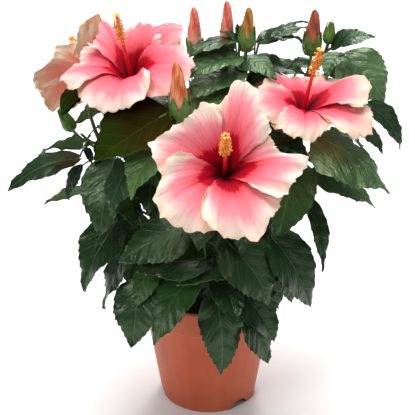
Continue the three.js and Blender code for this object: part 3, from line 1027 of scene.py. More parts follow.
def handed_over(
    name: str,
    mesh: bpy.types.Mesh,
    finishes: Sequence[Finish],
    replaced: Sequence[str] = (),
) -> bpy.types.Object:
    """Puts a mesh in the scene as a piece that rides on the plant's one body.

    Args:
        name: name of the piece.
        mesh: its mesh.
        finishes: finishes of its material slots.
        replaced: CAD nodes that it stands for.

    Returns:
        The piece.
    """
    mesh.validate()
    for finish in finishes:
        mesh.materials.append(dressed(finish))
    piece = linked(name, mesh)
    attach(piece, "root")
    if replaced:
        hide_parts(*replaced)
    log.info("%s: %d faces", name, len(mesh.polygons))
    return piece


def lay_tube(
    bundle: Bundle,
    line: Line,
    radius_at: Callable[[Array], Array],
    sides: int,
    rings: int,
    slot: int = 0,
    relief: Callable[[Array, Array], Array] | None = None,
) -> None:
    """Lays a round limb along a line.

    Args:
        bundle: what the limb is added to.
        line: its middle line.
        radius_at: radius in millimetres at shares of the length.
        sides: number of its sides.
        rings: number of steps along it.
        slot: its material slot.
        relief: change of the radius by share of length and angle.
    """
    pattern = tube_pattern(sides, rings)
    share = pattern.corners[:, 2]
    angle = np.arctan2(pattern.corners[:, 1], pattern.corners[:, 0])
    step = np.rint(share * rings).astype(int)
    centres, first, second = line.frames(rings)
    radius = radius_at(share)
    if relief is not None:
        radius = radius + relief(share, angle)
    arm = first[step] * np.cos(angle)[:, None] + second[step] * np.sin(angle)[:, None]
    own_map = np.stack([share, angle / math.tau + 0.5], axis=1)
    bundle.add(pattern, centres[step] + arm * radius[:, None], own_map, slot)


def lay_pip(
    bundle: Bundle, centre: Array, size: Array, fineness: int = 1, slot: int = 0
) -> None:
    """Lays a small ball stretched by size."""
    pattern = pip_pattern(fineness)
    bundle.add(pattern, centre + pattern.corners * size, None, slot)


@dataclass(frozen=True)
class Taper:
    """Radius of a limb that runs from start to end by a power of the share of its length."""

    start: float
    end: float
    power: int = 1

    def __call__(self, share: Array) -> Array:
        """Radii at shares of the length."""
        return self.start + (self.end - self.start) * share**self.power


@dataclass(frozen=True)
class Turning:
    """Radius of a turned shape, from knots of share and radius and their scale."""

    knots: tuple[tuple[float, float], ...]
    scale: float

    def __call__(self, share: Array) -> Array:
        """Radii at shares of the length."""
        return between_knots(share, self.knots) * self.scale


def between_knots(value: Array, knots: Sequence[tuple[float, float]]) -> Array:
    """Values between knots, each a place and its value."""
    places, values = np.array(knots, float).T
    return np.interp(value, places, values)


class SolidSkin:
    """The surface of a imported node, to ask what stands in it."""

    NEAR = 0.35
    SEARCH = 10.0

    def __init__(self, node: bpy.types.Object) -> None:
        """Reads the node's surface."""
        self.tree = joined_tree([node])

    def holds(self, points: Array) -> bool:
        """Whether each point, in millimetres, lies on the surface."""
        return all(self.gap(point) <= self.NEAR for point in points)

    def gap(self, point: Array) -> float:
        """Distance of a point from the surface, or infinity where none is near."""
        found = self.tree.find_nearest(Vector(point * MM), self.SEARCH * MM)
        return math.inf if found[0] is None else found[3] / MM


# ---- The pot and what it holds


@dataclass(frozen=True)
class Pot:
    """The tapered nursery pot with its rim band and drain notches."""

    height: float = 122
    rim: float = 65
    band: float = 25
    shoulder: float = 62.5
    foot: float = 46.5
    wall: float = 2.2
    floor: float = 3
    step: float = 1
    lip: float = 1.5
    ledge: float = 0.5
    foot_round: float = 1.2
    band_draft: float = 0.2
    band_straight: float = 6
    edge_round: float = 0.5
    steps_round: int = 96
    notches: int = 3
    notch_width: float = 20
    notch_inset: float = 7
    notch_height: float = 9
    first_notch: float = -50

    ROUNDED_FROM = 25
    CREASE = 32

    def outline(self) -> list[tuple[float, float]]:
        """Radius and level of each corner of the wall's section, from under the middle.

        Returns:
            The corners, from the underside to the inner floor.
        """
        under_band = self.height - self.band
        return [
            (0, 0),
            (self.foot - self.foot_round, 0),
            (self.foot, self.foot_round),
            (self.shoulder - self.step, under_band),
            (self.rim - self.step, under_band),
            (self.rim - self.band_draft, under_band + self.lip),
            (self.rim, self.height - self.band_straight),
            (self.rim, self.height - self.lip),
            (self.rim - self.lip / 2, self.height),
            (self.rim - self.wall, self.height),
            (self.rim - self.wall - self.ledge, under_band + self.wall),
            (self.shoulder - self.step - self.wall, under_band),
            (self.foot - self.wall, self.floor),
            (0, self.floor),
        ]

    def shell(self) -> bmesh.types.BMesh:
        """Spins the section round the axis and softens its edges.

        Returns:
            The whole wall, not yet notched.
        """
        mesh = bmesh.new()
        corners = [mesh.verts.new((r * MM, 0, z * MM)) for r, z in self.outline()]
        edges = [mesh.edges.new(pair) for pair in zip(corners, corners[1:])]
        bmesh.ops.spin(
            mesh, geom=corners + edges, cent=(0, 0, 0), axis=(0, 0, 1), dvec=(0, 0, 0),
            angle=math.tau, steps=self.steps_round, use_merge=True, use_duplicate=False,
        )
        bmesh.ops.remove_doubles(mesh, verts=mesh.verts[:], dist=1e-6)
        bmesh.ops.recalc_face_normals(mesh, faces=mesh.faces[:])
        rings = [
            edge for edge in mesh.edges
            if abs(edge.verts[0].co.z - edge.verts[1].co.z) < 1e-7
            and len(edge.link_faces) == 2
            and edge.calc_face_angle(0) > math.radians(self.ROUNDED_FROM)
            and edge.verts[0].co.xy.length > self.foot / 4 * MM
        ]
        bmesh.ops.bevel(
            mesh, geom=rings, offset=self.edge_round * MM, offset_type="OFFSET", segments=2,
            profile=0.5, affect="EDGES", material=-1, clamp_overlap=True,
        )
        return mesh

    def plugs(self) -> bmesh.types.BMesh:
        """Makes the arch-shaped plugs that cut the notches in the foot.

        Returns:
            The plugs.
        """
        mesh = bmesh.new()
        lie = Matrix.Rotation(math.radians(90), 4, "Y")
        out = Matrix.Translation((self.foot * MM, 0, 0))
        squash = Matrix.Diagonal((self.notch_height * 2 / self.notch_width, 1, 1, 1))
        for i in range(self.notches):
            bearing = self.first_notch + 360 / self.notches * i
            turn = Matrix.Rotation(math.radians(bearing), 4, "Z")
            bmesh.ops.create_cone(
                mesh, cap_ends=True, segments=40, radius1=self.notch_width / 2 * MM,
                radius2=self.notch_width / 2 * MM, depth=self.notch_inset * 2 * MM,
                matrix=turn @ out @ lie @ squash,
            )
        return mesh

    def build(self) -> bpy.types.Object:
        """Builds the pot: its wall less the notches.

        Returns:
            The piece.
        """
        blank = linked("pot_blank", as_mesh("pot_blank", self.shell()))
        tool = linked("notch_plugs", as_mesh("notch_plugs", self.plugs()))
        cut = blank.modifiers.new("notches", "BOOLEAN")
        cut.operation = "DIFFERENCE"
        cut.solver = "EXACT"
        cut.object = tool
        bpy.context.view_layer.update()
        shaped = blank.evaluated_get(bpy.context.evaluated_depsgraph_get())
        mesh = bpy.data.meshes.new_from_object(shaped)
        mesh.materials.clear()
        for scrap in (blank, tool):
            bpy.data.objects.remove(scrap)
        smoothed(mesh, self.CREASE)
        return handed_over("pot_body", mesh, [ClayPlastic()], ["pot"])


@dataclass(frozen=True)
class Soil:
    """Potting soil with crumbs, low in the pot's rim."""

    pot: Pot
    edge: float = 105
    crown: float = 108
    crown_radius: float = 18
    crumbs: int = 420
    trunk_room: float = 14
    seed: int = 5
    sides: int = 72
    rings: int = 60

    SIDE_SHARES = (0, 0.30, 0.34, 0.36)

    def build(self) -> bpy.types.Object:
        """Builds the soil as a rough closed cake with crumbs on it.

        Returns:
            The piece.
        """
        bundle = Bundle()
        top = self.pot.rim - self.pot.wall - 2 * GAP
        self._lay_cake(bundle, top)
        draw = Draws(self.seed)
        for _ in range(self.crumbs):
            reach = self.trunk_room + (top - 4 - self.trunk_room) * math.sqrt(draw())
            size = draw.between(0.5, 1.7)
            height = float(np.interp(reach, (self.crown_radius, top), (self.crown, self.edge)))
            centre = place(draw() * 360, reach, height + size * 0.2)
            stretch = [draw.between(0.7, 1.3), draw.between(0.7, 1.3), draw.between(0.5, 0.9)]
            lay_pip(bundle, centre, np.array(stretch) * size, 1)
        return bundle.piece("soil_top", [PottingSoil()], "potting_soil", ["soil"], 60)

    def _lay_cake(self, bundle: Bundle, top: float) -> None:
        """Adds the cake: up the inside of the pot's wall, then in over the rough top.

        Args:
            bundle: what it is added to.
            top: radius of the soil at its edge.
        """
        pot = self.pot
        low = pot.floor + GAP + pot.notch_height
        under_band = pot.height - pot.band
        inner = pot.foot - pot.wall
        slope = (pot.shoulder - pot.step - pot.wall - inner) / (under_band - pot.floor)
        foot = inner + slope * (low - pot.floor) - 2 * GAP - pot.notch_inset / 2
        waist = inner + slope * (under_band - pot.floor) - 2 * GAP
        pattern = tube_pattern(self.sides, self.rings)
        share = pattern.corners[:, 2]
        angle = np.arctan2(pattern.corners[:, 1], pattern.corners[:, 0])
        rim = self.SIDE_SHARES[-1]
        wall = np.interp(share, self.SIDE_SHARES, (foot, waist, waist, top))
        out = np.where(share <= rim, wall, top * (1 - (share - rim) / (1 - rim)) + 0.4)
        dome = np.interp(out, (0, self.crown_radius, top), (self.crown, self.crown, self.edge))
        rough = 0.9 * np.sin(out * 1.3 + 3 * np.sin(angle * 5)) * np.sin(angle * 11 + out * 0.4)
        rough = np.where(out < self.trunk_room - 2, 0, np.minimum(rough, 0.5)) * (out < top - 1)
        levels = (low, under_band, under_band + 0.5, self.edge)
        level = np.where(share <= rim, np.interp(share, self.SIDE_SHARES, levels), dome + rough)
        bundle.add(pattern, np.stack([out * np.cos(angle), out * np.sin(angle), level], axis=1))


# ---- Leaves


# Share of the length and share of the half width, for the toothed blade and the plain one.
LEAF_OUTLINE = (
    (0.0, 0.10), (0.03, 0.44), (0.09, 0.80), (0.18, 1.00), (0.30, 1.08), (0.42, 1.02),
    (0.55, 0.86), (0.68, 0.65), (0.79, 0.43), (0.88, 0.25), (0.95, 0.11), (1.0, 0.0),
)
COARSE_OUTLINE = ((0, 0.25), (1 / 3, 1), (2 / 3, 0.72), (1, 0.04))
BLADE_WIDTH = 0.68
BLADE_ARCH = 0.09
BLADE_FOLD = 0.07
COARSE_THICKNESS = 0.9


@dataclass(frozen=True)
class Leaf:
    """One leaf: the foot of its blade, where it points, how far it hangs, and its shape."""

    foot: Array
    points: float
    hang: float
    length: float
    roll: float = 0.0
    width: float = BLADE_WIDTH
    arch: float = BLADE_ARCH
    tint: Tint = Tint.DEEP
    bite: float = 0.075
    sag: float = 0.0
    tilt: float = 0.0
    swing: float = 0.0
    swell: float = 1.0
    ridge: float = 0.0
    pleat: float = 1.0
    seed: int = 1
    steps: int = 44

    THICKNESS = 0.5
    PROBES = ((1 / 3, 1), (1 / 3, -1), (2 / 3, 1), (2 / 3, -1), (1, 0))
    SPREAD = tuple((a, b) for a in (0.12, 0.4, 0.7, 0.98) for b in (-0.95, 0, 0.95))

    def axes(self) -> Array:
        """Rows: along the blade, across it and out of its upper face.

        Returns:
            The three unit vectors.
        """
        along = heading(self.points, -self.hang)
        upper = turned(heading(self.points, 90 - self.hang), along, self.roll)
        return np.stack([along, np.cross(upper, along), upper])

    def coarse(self, along: float, across: float, up: float = 0.0) -> Array:
        """A point of the plain blade of the solids.

        Args:
            along: share of the length.
            across: share of the half width.
            up: height over the blade.

        Returns:
            The point.
        """
        half = float(between_knots(along, COARSE_OUTLINE)) * self.length * self.width * 0.5
        level = self.arch * self.length * 4 * along * (1 - along)
        level += BLADE_FOLD * half * abs(across) + up
        return self.foot + np.array([along * self.length, across * half, level]) @ self.axes()

    def probes(self) -> Array:
        """Corners of the plain blade, which lie on the solid where the leaf has this pose."""
        return np.array([self.coarse(*spot, COARSE_THICKNESS / 2) for spot in self.PROBES])

    def spread(self) -> Array:
        """Points all over the plain blade."""
        return np.array([self.coarse(*spot) for spot in self.SPREAD])

    def _teeth(self, along: Array, across: Array, draw: Draws) -> Array:
        """How far each corner of the margin stands out: uneven teeth that point forwards.

        Args:
            along: share of the length.
            across: share of the half width.
            draw: the leaf's draws.

        Returns:
            0 at the foot of a tooth, about 1 at its tip.
        """
        total = np.zeros_like(along)
        for side in (-1, 1):
            count = (9.5 + 4 * draw()) * min(max(self.length / 55, 0.6), 1)
            phase = along * count + draw()
            part = phase % 1.0
            size = 0.7 + 0.6 * np.sin(np.floor(phase) * 12.9 + side * 4.1) ** 2
            saw = np.where(part < 0.72, (part / 0.72) ** 1.3, (1 - part) / 0.28)
            total += np.where(np.sign(across) == side, saw * size, 0)
        band = np.clip((along - 0.2) * 5, 0, 1) * np.clip((0.97 - along) * 12, 0, 1)
        return total * band

    def shape(self) -> tuple[Pattern, Array, Array]:
        """The toothed, puckered, waving blade.

        Returns:
            The pattern, the place of each of its corners and the leaf's own map.
        """
        draw = Draws(self.seed)
        pattern = sheet_pattern(self.steps, 10 if self.steps > 30 else 6)
        along = pattern.corners[:, 0] + 0.5
        across = pattern.corners[:, 1] * 2
        edge = np.abs(across)
        size = self.length / 60
        half = between_knots(along, LEAF_OUTLINE) * self.length * self.width * 0.5
        teeth = self._teeth(along, across, draw) * edge**4
        bite = self.bite * draw.between(0.7, 1.3)
        lopsided = 1 + draw.between(-0.08, 0.08) * np.sign(across)
        sway = draw.between(-0.05, 0.05) * self.length * np.sin(math.pi * along)
        y = across * half * (1 + bite * (teeth - 0.4)) * lopsided
        x = along * self.length + teeth * self.length * 0.022
        x = x - np.exp(-along * 12) * edge**1.5 * self.length * 0.06
        lateral = (along - np.abs(y) / self.length * 0.85) * 5.2 + draw()
        rise = 1 - np.abs(2 * (lateral % 1) - 1)
        pucker = (0.34 + 0.32 * np.sin(lateral * 2.1 + draw() * 6)) * rise**0.8
        pucker = pucker * np.clip(edge * 4, 0, 1) * (1 - 0.7 * edge**3) * np.clip(along * 6, 0, 1)
        pucker = pucker * self.pleat
        wave = draw.between(0.8, 2.0) * edge**2 * np.sin(
            math.tau * (along * draw.between(1.3, 2.4) + (across > 0) * draw()) + draw() * 6
        )
        wave = wave + 0.6 * edge**4 * np.sin(along * draw.between(26, 38) + across * 3)
        fold = (BLADE_FOLD - self.ridge + draw.between(-0.26, 0.20)) * half * edge
        trough = -0.9 * np.exp(-((across / 0.1) ** 2))
        level = self.arch * self.length * 4 * along * (1 - along) + fold
        level = level + (wave * np.clip(along * 4, 0, 1) + pucker + trough * 0.5) * size
        level = level - draw.between(-0.02, 0.07) * self.length * along**4
        level = level + pattern.corners[:, 2] * self.THICKNESS
        twist = math.radians(draw.between(-16, 16)) * along**2
        local = np.stack([
            x,
            sway + y * np.cos(twist) - level * np.sin(twist),
            level * np.cos(twist) + y * np.sin(twist),
        ], axis=1)
        own_map = np.stack([along, y / self.length + 0.5], axis=1)
        return pattern, self.foot + local @ self.axes(), own_map

    def lay(self, bundle: Bundle) -> None:
        """Adds the blade to a bundle.

        Args:
            bundle: what it is added to.
        """
        pattern, points, own_map = self.shape()
        above = pattern.corners[:, 2]
        tint = self.tint.value
        slots = [tint if above[list(f)].mean() > 0.01 else UNDER_SLOT for f in pattern.faces]
        bundle.add(pattern, points, own_map, slots)

    def tree(self) -> BVHTree:
        """The blade as a tree of faces, to test what it crosses."""
        pattern, points, _ = replace(self, steps=16).shape()
        return BVHTree.FromPolygons([Vector(p) for p in points * MM], list(pattern.faces))

    def petiole(self, root: Array) -> Line:
        """The line of the petiole from its root on a limb to its seat under the blade.

        Args:
            root: its root.

        Returns:
            The line.
        """
        crest = root + (self.foot - root) * 0.6
        crest[2] += 0.16 * float(np.linalg.norm(self.foot - root))
        return Line.through(root, crest, self.foot, self.coarse(0.1, 0, -0.5))

    def posed(self, hang: float, swing: float, roll: float) -> Leaf:
        """The same leaf turned a little."""
        pose = {"hang": self.hang + hang, "points": self.points + swing, "roll": self.roll + roll}
        return replace(self, **pose)

    def dressed_up(self) -> Leaf:
        """The leaf moved on from the pose of the plain blade by what is its own."""
        moved = self.posed(self.sag, self.swing, self.tilt)
        return replace(moved, width=self.width * self.swell)


# What a leaf tries until the solid holds it: more hang, swing and roll, in degrees.
NUDGES = (
    (0, 0, 0), (8, 0, 0), (-8, 0, 0), (0, 10, 0), (0, -10, 0), (0, 0, 12), (0, 0, -12),
    (14, 12, 0), (14, -12, 0), (-14, 12, 0), (-14, -12, 0), (22, 0, 0), (0, 20, 10), (0, -20, -10),
    (-22, 0, 0), (10, 30, 0), (10, -30, 0), (-10, 30, 0), (-10, -30, 0),
)
# Level, and how far from the pot's axis the crown of the solids reaches there.
CROWN_REACH = ((90, 62), (140, 92), (190, 118), (250, 150), (300, 158), (330, 110))


def shown(
    bearing: float, reach: float, height: float, points: float, hang: float, length: float,
    tint: Tint = Tint.DEEP, **shape: float,
) -> Leaf:
    """A leaf with a place of its own."""
    return Leaf(place(bearing, reach, height), points, hang, length, tint=tint, **shape)


# ---- Shoots


@dataclass(frozen=True)
class Shoot:
    """One shoot out of the trunk: bare bough, then stem with twigs, leaves and buds."""

    name: str
    forks_at: float
    bearing: float
    reach: float
    top: float
    entry: float
    fill: int
    leaves: tuple[Leaf, ...] = ()
    finer: tuple[Leaf, ...] = ()

    BOUGH_ROOT = 3.5
    BOUGH_ENTRY = 2.9
    STEM_TIP = 1.5
    TWIGS = 2
    TURN = 144
    HANG_LOW = 62
    HANG_HIGH = 26

    def line(self, trunk: Line, soil: float, fork: float) -> Line:
        """The whole line of the shoot, out of the trunk and up through its leaves.

        Args:
            trunk: line of the trunk.
            soil: level of the soil.
            fork: level of the trunk's top.

        Returns:
            The line.
        """
        rise = self.top - self.forks_at
        return Line.bezier(
            trunk.at((self.forks_at - soil) / (fork - soil)),
            place(self.bearing, self.reach * 0.55, self.forks_at + rise * 0.2),
            place(self.bearing, self.reach * 0.92, self.forks_at + rise * 0.6),
            place(self.bearing, self.reach, self.top),
        )

    def twigs(self, stem: Line, draw: Draws) -> list[Line]:
        """Side twigs, fanned out from the stem by turns.

        Args:
            stem: line of the stem.
            draw: the shoot's draws.

        Returns:
            Their lines.
        """
        lines = []
        for i in range(self.TWIGS):
            root = stem.at(0.25 + 0.35 * i)
            side = -1 if i % 2 == 0 else 1
            bearing = self.bearing + side * 60 * (0.7 + 0.6 * draw())
            length = 34 * (0.7 + 0.5 * draw())
            tip = root + heading(bearing, 35) * length
            elbow = (root + tip) / 2 - np.array([0, 0, length * 0.08])
            lines.append(Line.through(root, elbow, tip))
        return lines

    def ruled(self, stem: Line, draw: Draws) -> list[Leaf]:
        """Leaves that follow the rule: a fixed turn each, and hanging more the lower they are.

        Args:
            stem: line of the stem.
            draw: the shoot's draws.

        Returns:
            Those whose tips stay inside the crown.
        """
        leaves = []
        for i in range(self.fill):
            share = (i + 0.5) / self.fill
            turn = ((self.TURN * i + 30 * draw()) % 360) - 180
            points = self.bearing + turn * 0.62
            length = 46 + 24 * draw()
            hang = self.HANG_LOW + (self.HANG_HIGH - self.HANG_LOW) * share + 16 * (draw() - 0.5)
            petiole = 26 * (0.8 + 0.5 * draw())
            foot = stem.at(share) + heading(points, 30) * petiole
            tint = Tint.MID if i % 3 == 0 else Tint.DEEP
            leaves.append(Leaf(foot, points, hang, length, tint=tint))
        return [leaf for leaf in leaves if self._inside(leaf)]

    @staticmethod
    def _inside(leaf: Leaf) -> bool:
        """Whether the tip stays inside the crown."""
        tip = leaf.foot + heading(leaf.points, -leaf.hang) * leaf.length
        return math.hypot(tip[0], tip[1]) < between_knots(tip[2], CROWN_REACH)


DEEP, MID, BRIGHT, OLIVE, YOUNG, GLOSSY = Tint
SHOOTS = (
    Shoot("left", 162, 178, 108, 298, 0.5, 1, (
        shown(189, 119, 258, 189, 22, 70, arch=0.14, sag=1, tilt=-3, swell=0.84),
        shown(192, 117, 270, 221, -12, 42, MID, roll=40),
        shown(184, 116, 246, 215, 62, 34, swell=0.75),
        shown(170, 119, 211, 173, 21, 46, MID, roll=50, sag=7, swell=0.62),
        shown(185, 110, 320, 227, 25, 30, OLIVE),
    ), (
        shown(183, 112, 324, 219, 44, 34, OLIVE, width=0.8),
        shown(183, 113, 265, 17, -54, 23, roll=-20, width=0.55),
        shown(183, 112, 263, 316, 57, 16, width=0.55),
    )),
    Shoot("left_front", 153, 222, 60, 294, 0.5, 1, (
        shown(238, 68, 317, 212, 22, 74, OLIVE, arch=0.05, roll=-18, width=0.8, swell=1.12),
        shown(211, 96, 270, 250, 57, 68),
        shown(230, 104, 280, 233, 51, 46),
        # This leaf takes the paler green that is partly a painted highlight.
        shown(242, 86, 300, 231, 42, 56, BRIGHT),
        shown(201, 83, 291, 227, 36, 40, OLIVE),
    ), (
        shown(200, 58, 319, 315, 21, 32, width=0.8),
    )),
    Shoot("left_low", 136, 212, 62, 212, 0.36, 2, (
        shown(206, 90, 237, 310, 45, 38, MID),
        shown(208, 92, 208, 225, 48, 70),
        shown(212, 84, 183, 212, 63, 64, width=0.45),
        shown(216, 77, 175, 146, 68, 38, OLIVE),
        shown(223, 86, 154, 249, 69, 62),
        shown(230, 78, 176, 226, 66, 44, MID),
    )),
    Shoot("front", 145, 271, 66, 260, 0.36, 2, (
        shown(258, 97, 228, 196, 22, 64, roll=-30),
        shown(268, 95, 198, 190, 8, 60, roll=-25),
        shown(263, 88, 183, 208, 57, 78, MID),
        shown(278, 87, 186, 206, 16, 50, MID),
        shown(280, 98, 214, 337, 53, 66, roll=25, width=0.8),
        shown(274, 80, 154, 290, 78, 79, width=0.5),
        shown(279, 72, 167, 293, 44, 46),
        shown(283, 94, 236, 285, 74, 36, width=0.4),
    )),
    Shoot("front_right", 133, 306, 62, 224, 0.36, 2, (
        shown(291, 76, 155, 336, 52, 60, roll=20),
        shown(295, 78, 127, 344, 66, 54, roll=20),
        shown(306, 75, 146, 347, 55, 44),
        shown(306, 94, 209, 352, 60, 76, roll=25, swing=-6, swell=0.92),
        shown(322, 82, 172, 316, 66, 42),
    )),
    Shoot("right", 143, 343, 82, 280, 0.5, 1, (
        shown(322, 98, 270, 240, 57, 66, MID),
        shown(341, 96, 223, 326, 65, 66, width=0.36, swing=-32, swell=0.72),
        shown(
            332, 106, 292, 338, 38, 80, GLOSSY, roll=22, width=0.74, swing=6, swell=1.08, sag=-4,
            tilt=-10, ridge=0.3, pleat=2.2,
        ),
        shown(348, 97, 246, 0, 28, 66, GLOSSY, roll=15, swing=-8, swell=0.8),
        shown(329, 98, 291, 198, -20, 40),
    ), (
        shown(325, 67, 290, 324, 16, 44, width=0.6),
    )),
    Shoot("right_top", 154, 24, 98, 318, 0.52, 0, (
        shown(25, 141, 328, 335, 45, 58, GLOSSY, roll=34, width=0.9, pleat=2.4),
        shown(4, 145, 299, 352, 46, 54, roll=30, sag=5, swell=0.66),
        shown(351, 134, 292, 333, 45, 34),
        shown(33, 129, 328, 334, 55, 42),
        shown(22, 130, 343, 0, -14, 33, MID, roll=20, width=0.85, swell=0.68),
        shown(40, 128, 315, 195, 10, 30, width=0.9),
    ), (
        shown(15, 117, 334, 327, -31, 22, width=0.5),
        shown(20, 101, 332, 223, -6, 29, width=0.7),
        shown(14, 121, 341, 242, 28, 32, MID, width=0.6),
        shown(23, 124, 339, 354, -45, 29, roll=25, width=0.6),
    )),
    Shoot("top", 167, 20, 28, 334, 0.5, 2, (
        shown(42, 62, 347, 8, -12, 52, MID, width=0.6),
        shown(52, 72, 323, 13, 0, 32, width=0.9),
        shown(42, 50, 333, 22, 21, 58),
        shown(18, 24, 361, 213, 0, 50, sag=4, swell=0.72),
        shown(0, 26, 348, 213, 2, 54, GLOSSY, roll=-20, tilt=4, pleat=1.8),
        shown(354, 28, 337, 216, 9, 58, GLOSSY, sag=8, tilt=-12, pleat=1.8),
        shown(340, 25, 328, 224, 13, 46, GLOSSY, sag=8, tilt=-10, swell=1.2, pleat=1.8),
    ), (
        shown(23, 31, 343, 320, 12, 42, GLOSSY, roll=10, width=0.7),
        shown(44, 52, 331, 332, -5, 36, roll=20, width=0.75),
        shown(41, 73, 321, 338, 3, 38, MID, roll=16, width=0.6),
        shown(25, 52, 357, 40, 15, 58, roll=12, width=0.36),
        shown(23, 31, 357, 192, -32, 23, roll=-20, width=0.5),
        shown(27, 30, 356, 225, -82, 20, width=0.5),
        shown(9, 52, 335, 226, 26, 30, roll=-8, width=0.6),
        # This leaf takes the paler green that is partly a painted highlight, in place of a
        # reflection it does not catch.
        shown(8, 22, 328, 222, 19, 70, BRIGHT, roll=-10, width=0.62),
        shown(35, 52, 352, 354, -24, 50, width=0.3),
    )),
    Shoot("back_left", 148, 130, 92, 284, 0.46, 13),
    Shoot("back", 160, 90, 86, 294, 0.46, 13),
    Shoot("back_right", 138, 48, 94, 278, 0.46, 13),
    Shoot("low_back_left", 128, 158, 62, 206, 0.36, 11),
    Shoot("low_back", 134, 100, 64, 214, 0.36, 11),
    Shoot("low_back_right", 126, 32, 62, 202, 0.36, 11),
)


@dataclass(frozen=True)
class Bud:
    """A closed bud: its calyx and wrapped petals, from foot to tip."""

    shoot: str
    foot: Triple
    tip: Triple
    girth: float
    skin: int = 0
    opened: float = 0.5

    PROFILE = (
        (0, 0.30), (0.06, 0.62), (0.18, 0.93), (0.30, 1.0), (0.5, 0.88), (0.7, 0.68), (0.88, 0.47),
        (0.96, 0.34), (1, 0.16),
    )
    SEPALS = 5
    BRACTS = 7

    def axis(self) -> tuple[Array, float]:
        """Direction and length of the bud."""
        span = np.array(self.tip, float) - np.array(self.foot, float)
        return span / np.linalg.norm(span), float(np.linalg.norm(span))

    def lay_petals(self, bundle: Bundle) -> None:
        """Adds the wrapped petals, pleated in a spiral.

        Args:
            bundle: what it is added to.
        """
        axis, length = self.axis()
        line = Line(np.array([self.foot + axis * length * t for t in np.linspace(0.08, 1, 9)]))
        girth = Turning(self.PROFILE, self.girth * 0.46)
        lay_tube(bundle, line, girth, 30, 22, self.skin, self.pleats)

    def pleats(self, share: Array, angle: Array) -> Array:
        """Relief of the wrapped petals by share of the length and angle.

        Args:
            share: shares of the length.
            angle: angles round it.

        Returns:
            What it adds to the radius.
        """
        wave = ((angle / math.tau * 3 + share * 1.1) % 1.0) - 0.5
        knots = 0.4 * np.sin(angle * 3 + share * 23) * np.sin(share * 31 + angle)
        return (wave + 0.5 * knots) * self.girth * 0.08 * np.clip(share * 4, 0, 1)

    def lay_calyx(self, bundle: Bundle, slot: int) -> None:
        """Adds the five-pointed calyx and the narrow bracts under it.

        Args:
            bundle: what it is added to.
            slot: material slot.
        """
        axis, length = self.axis()
        side = np.cross(axis, (1.0, 0.0, 0.0))
        side /= np.linalg.norm(side)
        other = np.cross(axis, side)
        foot = np.array(self.foot, float)
        pattern = sheet_pattern(12, 5)
        reach = length * self.opened
        share = pattern.corners[:, 0] + 0.5
        across = pattern.corners[:, 1] * 2
        narrowing = np.where(share < 0.45, 1.0, np.clip((1 - share) / 0.55, 0, 1) ** 0.8)
        radius = between_knots(share * self.opened, self.PROFILE) * self.girth * 0.5
        keel = 0.05 * self.girth * (1 - np.abs(across)) * np.clip(share * 3, 0, 1)
        spread = radius + 0.4 + keel + 0.35 * share + pattern.corners[:, 2] * 0.5
        for i in range(self.SEPALS):
            angle = math.tau * (i + 0.5 * across * narrowing * 1.06) / self.SEPALS
            arm = side * np.cos(angle)[:, None] + other * np.sin(angle)[:, None]
            points = foot + axis * (share * reach)[:, None] + arm * spread[:, None]
            bundle.add(pattern, points, np.stack([share, across], axis=1), slot)
        for i in range(self.BRACTS):
            angle = math.tau * (i + 0.3) / self.BRACTS
            arm = side * math.cos(angle) + other * math.sin(angle)
            start = foot + axis * 0.5 + arm * self.girth * 0.2
            line = Line.through(
                start,
                start + arm * self.girth * 0.28 + axis * reach * 0.10,
                start + arm * self.girth * 0.40 + axis * reach * 0.42,
            )
            lay_tube(bundle, line, self.bract_radius, 6, 6, slot)

    @staticmethod
    def bract_radius(share: Array) -> Array:
        """Radius of a bract at shares of its length."""
        return 0.75 * (1 - share) ** 0.7 + 0.12


BUDS = (
    Bud("front", (-23, -66, 314), (-27, -72, 368), 17, 1, 0.48),
    Bud("top", (-12, 13, 345), (-13, 12, 389), 14, 0, 0.36),
    Bud("top", (17, 20, 342), (16, 20, 392), 14, 0, 0.34),
    Bud("top", (33, 8, 350), (35, 8, 390), 14, 2, 0.58),
    Bud("right_top", (94, 44, 334), (96, 44, 377), 16, 3, 0.52),
    Bud("right_top", (110, 54, 342), (112, 54, 363), 10, 4, 0.97),
    Bud("left", (-124, 8, 275), (-134, 0, 299), 11, 4, 0.97),
)


# ---- Open blooms


@dataclass(frozen=True)
class Petal:
    """One petal: its reach by angle round the throat, its lift at 70, how far coral spreads; a
    negative value paints the petal paler, as painted light against shade.
    """

    outline: tuple[tuple[float, float], ...]
    lift: float = 0
    blush_and_painted_light: float = 0


